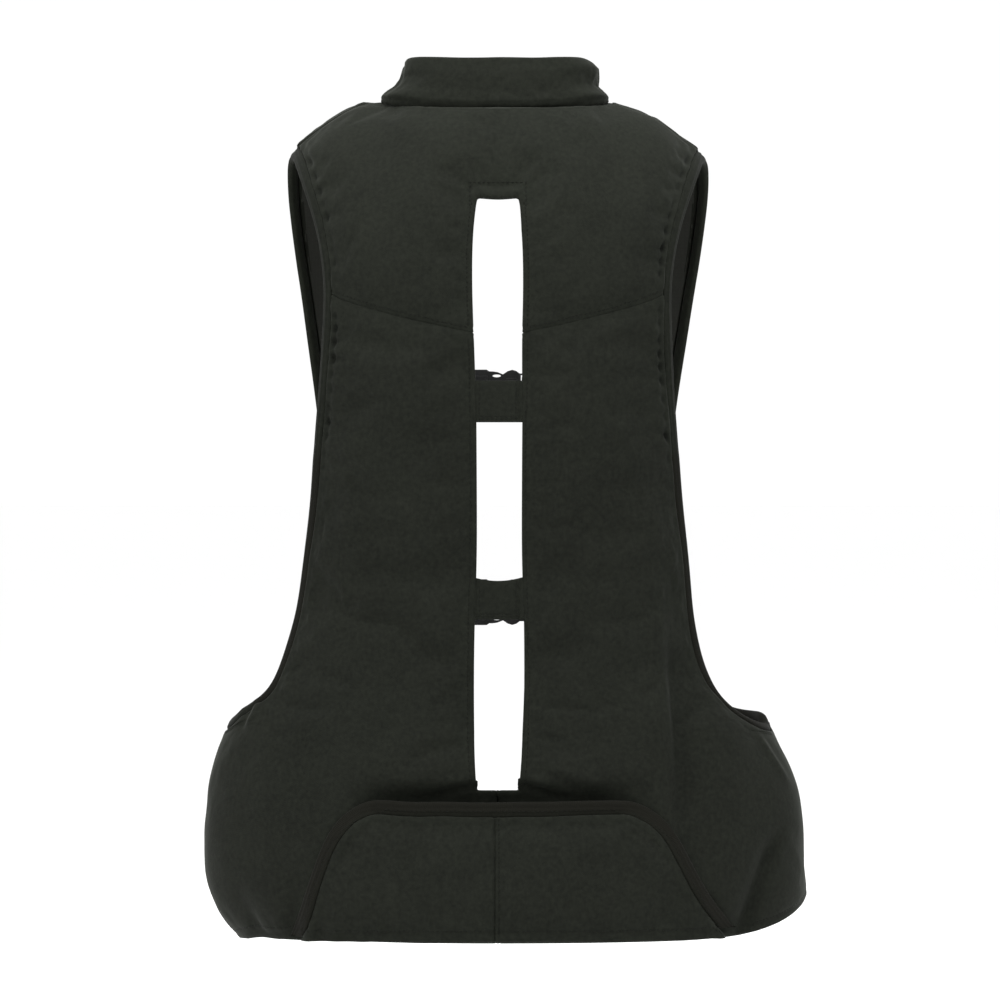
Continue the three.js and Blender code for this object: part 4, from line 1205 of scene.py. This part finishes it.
# where cloth takes over from tape round an armhole, mm; shade paints the turned cloth darker at the back
# (painted shade) and lighter at the front (painted light)
turnedEdge = {"z": (-262.0, -248.0), "leftRim": (168.0, 180.0), "sink": 0.6, "shade": 0.6}
turnsAround = 240
tapeEnd = {"left": -592.0, "right": -586.0, "sink": 1.5, "fade": 14.0}


def lengthAlong(points, axis, hub):
    # length along a bent tape, by the angle round its middle
    angle = np.arctan2(points[:, 2] / mm - hub[1], points[:, axis] / mm - hub[0])
    angle = (angle + math.pi / 2) % (2 * math.pi)
    bins = np.minimum((angle / (2 * math.pi) * turnsAround).astype(int), turnsAround - 1)
    used = np.unique(bins)
    stations = np.array([points[bins == b].mean(0) for b in used])
    steps = np.linalg.norm(np.diff(stations, axis=0), axis=1)
    length = np.concatenate([[0.0], np.cumsum(steps)])
    return np.interp(angle, (used + 0.5) / turnsAround * 2 * math.pi, length)


def endTape(tape):
    # the ends of the lumbar tape run out into the hem
    points = places(tape)
    x, _, z = points.T / mm
    foot = np.where(x < 0, tapeEnd["left"], tapeEnd["right"])
    points[:, 2] += np.maximum(foot - z, 0) * mm
    points[:, 1] += tapeEnd["sink"] * (1 - ease(z, foot, foot + tapeEnd["fade"])) * mm
    setPlaces(tape, points)


def halfArea(piece):
    return sum(face.area for face in piece.data.polygons) / 2


tapes = {}
for entry in tapeList:
    spec = tapeShape
    tape = copyNode(entry["node"], entry["piece"])
    smoothSteps(tape, spec["steps"])
    points, ways = places(tape), normals(tape)
    facing = (ways * outward(points)).sum(1)
    grow = entry["grow"] * (1 - ease(np.abs(facing), *spec["edge"]))
    turned, blended = np.zeros(len(points)), 0.0
    armhole = entry["axis"] == 1
    if armhole:
        x, _, z = points.T / mm
        # round the left rim the cloth tone is partly a painted highlight
        turned = np.maximum(ease(z, *turnedEdge["z"]), ease(-x, *turnedEdge["leftRim"]))
        grow *= ease(z, *spec["growZ"])
    else:
        toHub = np.array(entry["hub"]) * mm - points[:, [0, 2]]
        inner = (ways[:, [0, 2]] * toHub).sum(1) / np.linalg.norm(toHub, axis=1)
        blended = spec["innerBlend"] * ease(inner, *spec["innerBlendFacing"])
    sink = (entry["sink"] + turnedEdge["sink"] * turned) * ease(facing, *spec["outer"])
    setPlaces(tape, points + ways * (grow - sink)[:, None] * mm)
    for shape in (liftRim, setSides) if armhole else (endTape, setLumbar):
        shape(tape)
    addValue(tape, "along", lengthAlong(points, entry["axis"], entry["hub"]))
    addValue(tape, "bound", 1 - turned - blended)
    # painted shade on the turned cloth at the back, painted light on it at the front
    addValue(tape, "fold", turned * np.where(points[:, 1] < 0, turnedEdge["shade"], -turnedEdge["shade"]))
    tape.data.materials.append(bindingTape)
    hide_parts(entry["node"])
    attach(tape, "root")
    halfArea(tape) / tapeSpec["width"]
    tapes[entry["piece"]] = tape
print("stage: binding tape")


# bands across the slot
bandSpec = {
    "reach": 2.8,          # how far each end runs under the edge of the slot, mm
    "seams": (-15.2, 14.8),
    "seamDepth": 0.7,
    "seamWidth": 0.8,
    "hems": (2.0, 3.8),    # rows of stitches above the lower edge, mm
    "hemDepth": 0.35,
    "hemWidth": 0.5,
    "steps": 4,
    "wave": 0.4,
    "waveSize": 14 * mm,
    "waveSeed": 31,
    "stitchIn": 2.2,
    "hemIn": 3.0,
    "endIn": 1.5,
}
bandList = [
    {"node": "bridge_upper", "piece": "bandUpper"},
    {"node": "bridge_lower", "piece": "bandLower"},
]


def makeBand(nodeName, pieceName):
    spec = bandSpec
    band = copyNode(nodeName, pieceName)
    pad = {"piece": band, **rimOf(band)}
    smoothSteps(band, spec["steps"])
    points = places(band)
    half = np.abs(points[:, 0]).max()
    points[:, 0] *= (half + spec["reach"] * mm) / half
    setPlaces(band, points)
    foot = points[:, 2].min() / mm

    def relief(p):
        x, _, z = p.T / mm
        lift = spec["wave"] * wobble(p, spec["waveSize"], spec["waveSeed"])
        for seam in spec["seams"]:
            lift -= spec["seamDepth"] * bell(x - seam, spec["seamWidth"])
        for hem in spec["hems"]:
            lift -= spec["hemDepth"] * bell(z - foot - hem, spec["hemWidth"])
        return lift

    raiseCloth(pad, relief)
    dress(band, shellCloth, shellCloth)
    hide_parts(nodeName)
    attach(band, "root")
    box = np.ptp(places(band), axis=0)
    return band


bands = {entry["piece"]: makeBand(entry["node"], entry["piece"]) for entry in bandList}
print("stage: bands across the slot")


# webbing straps
strapList = [
    {"node": "strap_upper_left", "piece": "strapUpperLeft", "on": ["frontPanelLeft", "buckleUpper"]},
    {"node": "strap_upper_right", "piece": "strapUpperRight", "on": ["frontPanelRight", "buckleUpper"]},
    {"node": "strap_lower_left", "piece": "strapLowerLeft", "on": ["frontPanelLeft", "buckleLower"]},
    {"node": "strap_lower_right", "piece": "strapLowerRight", "on": ["frontPanelRight", "buckleLower"]},
]
strapSpec = {"width": 0.0266, "steps": 3, "bar": {"Left": 29.6, "Right": 29.0}, "loopTo": 17.6}


def widenLoop(strap, side):
    # the end of the webbing lies flat through the window of its buckle
    points = places(strap)
    bar = strapSpec["bar"][side] * mm
    wide = np.abs(points[:, 0])
    inner = bar - wide
    stretch = (bar - strapSpec["loopTo"] * mm) / inner.max()
    points[:, 0] = np.sign(points[:, 0]) * np.where(inner > 0, bar - inner * stretch, wide)
    setPlaces(strap, points)


straps = {}
for entry in strapList:
    strap = copyNode(entry["node"], entry["piece"])
    rimOf(strap)
    smoothSteps(strap, strapSpec["steps"])
    widenLoop(strap, "Left" if entry["piece"].endswith("Left") else "Right")
    strap.data.materials.append(webbing)
    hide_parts(entry["node"])
    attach(strap, "root")
    halfArea(strap) / strapSpec["width"]
    straps[entry["piece"]] = strap
print("stage: webbing straps")


# side-release buckles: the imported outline, rounded, with its raised faces and grips
buckleSpec = {
    "flat": math.radians(4),
    "round": {"width": 0.7 * mm, "segments": 3, "limit_method": "ANGLE", "angle_limit": math.radians(35)},
    "smooth": math.radians(40),
    "facePanel": {"x": (-19.6, -8.0), "half": 12.4, "rise": 0.5, "rim": 1.6, "dip": 0.7},
    "plugPanel": {"x": (6.2, 14.2), "half": 10.6, "rise": 0.5, "rim": 1.3, "dip": 0.6},
    "grips": {"first": -6.0, "step": 2.3, "count": 3, "half": 9.0, "wide": 1.1, "rise": 0.5},
}
blockSpec = {
    "round": {"width": 0.35 * mm, "segments": 2, "limit_method": "ANGLE", "angle_limit": 0.6},
    "slope": 0.4,
}
squareOn = 0.9    # how squarely a face that is picked looks along an axis
buckleList = [
    {"node": "buckle_upper", "piece": "buckleUpper"},
    {"node": "buckle_lower", "piece": "buckleLower"},
]


def editEnds(piece, axis):
    # edit mode with the two faces picked that look along an axis
    for part in (*piece.data.edges, *piece.data.vertices):
        part.select = False
    for face in piece.data.polygons:
        face.select = abs(face.normal[axis]) > squareOn
    bpy.ops.object.mode_set(mode="EDIT")
    bpy.ops.mesh.select_mode(type="FACE")


def addBlock(x, y, z, size, rim=0.0, dip=0.0):
    # a small moulded block, sunk on both faces where it has a rim; sizes in mm
    bpy.ops.object.select_all(action="DESELECT")
    bpy.ops.mesh.primitive_cube_add(size=1, location=(x * mm, y * mm, z * mm))
    block = bpy.context.object
    block.scale = tuple(s * mm for s in size)
    bpy.ops.object.transform_apply(location=True, rotation=False, scale=True)
    if rim:
        editEnds(block, 1)
        bpy.ops.mesh.inset(thickness=rim * mm, depth=0.0, use_individual=True)
        bpy.ops.mesh.inset(thickness=blockSpec["slope"] * mm, depth=-dip * mm, use_individual=True)
        bpy.ops.object.mode_set(mode="OBJECT")
    applyModifier(block, "BEVEL", **blockSpec["round"])
    return block


def makeBuckle(nodeName, pieceName):
    spec = buckleSpec
    buckle = copyNode(nodeName, pieceName)
    pick(buckle)
    bpy.ops.object.mode_set(mode="EDIT")
    bpy.ops.mesh.select_all(action="SELECT")
    bpy.ops.mesh.dissolve_limited(angle_limit=spec["flat"])
    bpy.ops.object.mode_set(mode="OBJECT")
    applyModifier(buckle, "BEVEL", **spec["round"])
    points = places(buckle) / mm
    low, high = points.min(0), points.max(0)
    _, y, z = (low + high) / 2
    thick = high[1] - low[1]
    parts = []
    for panel in (spec["facePanel"], spec["plugPanel"]):
        x0, x1 = panel["x"]
        size = (x1 - x0, thick + 2 * panel["rise"], 2 * panel["half"])
        parts.append(addBlock((x0 + x1) / 2, y, z, size, panel["rim"], panel["dip"]))
    grips = spec["grips"]
    for i in range(grips["count"]):
        size = (grips["wide"], thick + 2 * grips["rise"], 2 * grips["half"])
        parts.append(addBlock(grips["first"] + i * grips["step"], y, z, size))
    pick(buckle)
    for part in parts:
        part.select_set(True)
    bpy.ops.object.join()
    bpy.ops.object.shade_smooth_by_angle(angle=spec["smooth"])
    buckle.data.materials.clear()
    buckle.data.materials.append(bucklePlastic)
    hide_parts(nodeName)
    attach(buckle, "root")


for entry in buckleList:
    makeBuckle(entry["node"], entry["piece"])
print("stage: buckles")


# stitches: one is modelled, then copied along each sewn line
stitchSpec = {
    "pitch": 3.3,
    "length": 2.5,
    "thick": 0.55,
    "sides": 6,
    "barrel": 0.6,      # share of the length before the ends narrow
    "narrow": 0.2,
    "dive": 0.7,        # how deep the ends go, as a share of the thickness
    "proud": 0.2,
    "ahead": 0.5,
}
lineSpec = {
    "smoothing": 5,
    "fewest": 8,
    "probe": 8.0,       # where a line asks on which side of its edge the cloth lies, mm
    "probeEach": 4,
    "above": 2.5,
    "facing": 0.1,
    "farthest": 9.0,
    "step": 1.2,
    "fewestSpots": 4,
    "jump": 6.0,        # a line is broken where it jumps further than this, mm
}


def oneStitch():
    spec = stitchSpec
    thick, length = spec["thick"] * mm, spec["length"] * mm
    bpy.ops.object.select_all(action="DESELECT")
    bpy.ops.mesh.primitive_cylinder_add(vertices=spec["sides"], radius=thick / 2,
                                        depth=length * spec["barrel"], end_fill_type="NGON",
                                        rotation=(0, math.radians(90), 0))
    stitch = bpy.context.object
    bpy.ops.object.transform_apply(location=True, rotation=True, scale=True)
    editEnds(stitch, 0)
    bpy.ops.mesh.inset(thickness=thick * spec["narrow"], depth=length * (1 - spec["barrel"]) / 2,
                       use_individual=True)
    bpy.ops.object.mode_set(mode="OBJECT")
    points = places(stitch)
    points[:, 2] -= thick * spec["dive"] * (np.abs(points[:, 0]) / (length / 2)) ** 3
    faces = [list(face.vertices) for face in stitch.data.polygons]
    bpy.data.objects.remove(stitch)
    return points, faces


def lineBeside(edge, surface, inset, axis):
    # points and normals on the outer cloth beside an edge, on the side where the cloth lies
    spec = lineSpec
    if len(edge) < spec["fewest"]:
        return []
    edge = edge[np.argsort(edge[:, axis])]
    soft = np.ones(spec["smoothing"]) / spec["smoothing"]
    edge = np.stack([np.convolve(edge[:, k], soft, "valid") for k in range(3)], axis=1)
    way = np.gradient(edge, axis=0)
    away = outward(edge)
    into = np.cross(way, away)
    into /= np.maximum(np.linalg.norm(into, axis=1), 1e-9)[:, None]
    votes = 0
    for e, i in zip(edge[::spec["probeEach"]], into[::spec["probeEach"]]):
        here, there = (surface.find_nearest(Vector(e + i * step * mm))[3]
                       for step in (spec["probe"], -spec["probe"]))
        votes += 1 if here < there else -1
    into *= np.sign(votes) or 1
    line = []
    for e, i, a in zip(edge, into, away):
        spot, normal, _, gap = surface.find_nearest(Vector(e + i * inset * mm + a * spec["above"] * mm))
        if normal.dot(Vector(a)) > spec["facing"] and gap < spec["farthest"] * mm:
            line.append((np.array(spot), np.array(normal)))
    return line


def lineAcross(surface, corners, way=1):
    # points and normals where straight runs between (x, z) corners meet the cloth;
    # way is 1 from behind and -1 from the front
    line = []
    for (x0, z0), (x1, z1) in zip(corners, corners[1:]):
        steps = max(2, round(math.hypot(x1 - x0, z1 - z0) / lineSpec["step"]))
        for k in range(steps + 1):
            x, z = x0 + (x1 - x0) * k / steps, z0 + (z1 - z0) * k / steps
            start = Vector((x * mm, -way * rayStart, z * mm))
            spot, normal, _, _ = surface.ray_cast(start, Vector((0, way, 0)))
            if spot is not None:
                line.append((np.array(spot), np.array(normal)))
    return line


def sew(pieceName, lines):
    # copies the stitch along the lines into one mesh
    spec = stitchSpec
    unit, unitFaces = oneStitch()
    points, faces = [], []
    for line in lines:
        if len(line) < lineSpec["fewestSpots"]:
            continue
        spots = np.array([spot for spot, _ in line])
        upward = np.array([normal for _, normal in line])
        steps = np.linalg.norm(np.diff(spots, axis=0), axis=1)
        length = np.concatenate([[0.0], np.cumsum(steps)])
        jumps = np.concatenate([[0.0], np.cumsum(steps > lineSpec["jump"] * mm)])
        for s in np.arange(spec["pitch"] / 2 * mm, length[-1], spec["pitch"] * mm):
            ends = s + np.array([-0.5, 0.5]) * spec["length"] * mm
            if np.ptp(np.interp(ends, length, jumps)) > 0:
                continue
            ahead = s + spec["ahead"] * mm
            spot, up, tip = (np.array([np.interp(v, length, row[:, k]) for k in range(3)])
                             for v, row in ((s, spots), (s, upward), (ahead, spots)))
            way = tip - spot
            if np.linalg.norm(way) < 1e-7:
                continue
            way /= np.linalg.norm(way)
            up = up - way * np.dot(up, way)
            up /= np.linalg.norm(up)
            turn = np.stack([way, np.cross(up, way), up])
            base = len(points) * len(unit)
            points.append(spot + up * spec["thick"] * spec["proud"] * mm + unit @ turn)
            faces += [[v + base for v in face] for face in unitFaces]
    mesh = bpy.data.meshes.new(pieceName)
    mesh.from_pydata(np.concatenate(points), [], faces)
    mesh.polygons.foreach_set("use_smooth", np.ones(len(mesh.polygons), bool))
    mesh.materials.append(sewingThread)
    piece = bpy.data.objects.new(pieceName, mesh)
    scene.collection.objects.link(piece)
    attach(piece, "root")
    print("  ", pieceName, len(points), "stitches")


def halves(edge):
    # the left and the right part of an edge
    return [edge[edge[:, 0] * sign > 0] for sign in sideSigns.values()]


across, upward = 0, 2    # axes along which a line of stitches runs
for side in gatherSeeds:
    tapeSkin = surfaceOf(tapes["armholeTape" + side])
    pad = pads["backPanel" + side]
    skin, edges = surfaceOf(pad["piece"]), pad["edges"]
    low = edges["armhole"][edges["armhole"][:, 2] < turnedEdge["z"][0] * mm]
    sew("backStitches" + side, [
        lineBeside(edges["slot"], skin, stitchInset["slot"], upward),
        lineBeside(edges["hem"], skin, stitchInset["hem"], across),
        lineBeside(low, tapeSkin, stitchInset["armhole"], upward),
    ])
    pad = pads["frontPanel" + side]
    skin, edges = surfaceOf(pad["piece"]), pad["edges"]
    sew("frontStitches" + side, [
        lineBeside(edges["centre"], skin, stitchInset["centre"], upward),
        lineBeside(edges["hem"], skin, stitchInset["hem"], across),
        lineBeside(edges["armhole"], tapeSkin, stitchInset["armhole"], upward),
    ])

pad = pads["yokePanel"]
skin, edges = surfaceOf(pad["piece"]), pad["edges"]
slotBox = [(-19.5, -84), (-19.5, -66.5), (19.5, -66.5), (19.5, -84)]
sew("yokeStitches", [
    *(lineBeside(part, skin, stitchInset["seam"], across) for part in halves(edges["seam"])),
    *(lineBeside(part, skin, stitchInset["slot"], upward) for part in halves(edges["slot"])),
    lineAcross(skin, slotBox),
])

pad = pads["lumbarPatch"]
skin, edges = surfaceOf(pad["piece"]), pad["edges"]
tapeSkin = surfaceOf(tapes["lumbarTape"])
lumbarLine = {"z": (-508, -590), "topHalf": 88.0}
isTop = np.abs(edges["taped"][:, 0]) / mm < lumbarLine["topHalf"]
sew("lumbarStitches", [
    lineAcross(skin, [(lumbarWork["stitchAt"], z) for z in lumbarLine["z"]]),
    lineBeside(edges["hem"], skin, stitchInset["hem"], across),
    lineBeside(edges["taped"][isTop], tapeSkin, stitchInset["tape"], across),
    *(lineBeside(part, tapeSkin, stitchInset["tape"], upward) for part in halves(edges["taped"][~isTop])),
])

for name, band in bands.items():
    spec = bandSpec
    skin = surfaceOf(band)
    height = places(band)[:, 2] / mm
    foot, top = height.min(), height.max()
    left, right = spec["seams"]
    sew(name + "Stitches", [
        *(lineAcross(skin, [(x, foot + spec["endIn"]), (x, top - spec["endIn"])])
          for x in (left + spec["stitchIn"], right - spec["stitchIn"])),
        *(lineAcross(skin, [(left + spec["hemIn"], foot + hem), (right - spec["hemIn"], foot + hem)])
          for hem in spec["hems"]),
    ])

boxStitch = {"from": 52.0, "to": 92.0, "half": 9.5}
for name, strap in straps.items():
    points = places(strap) / mm
    middleZ = (points[:, 2].min() + points[:, 2].max()) / 2
    sign = 1 if points[:, 0].mean() > 0 else -1
    a, b = sign * boxStitch["from"], sign * boxStitch["to"]
    low, high = middleZ - boxStitch["half"], middleZ + boxStitch["half"]
    corners = [(a, low), (b, low), (b, high), (a, high), (a, low), (b, high), (b, low), (a, high)]
    sew(name + "Stitches", [lineAcross(surfaceOf(strap), corners, way=-1)])
print("stage: stitches")
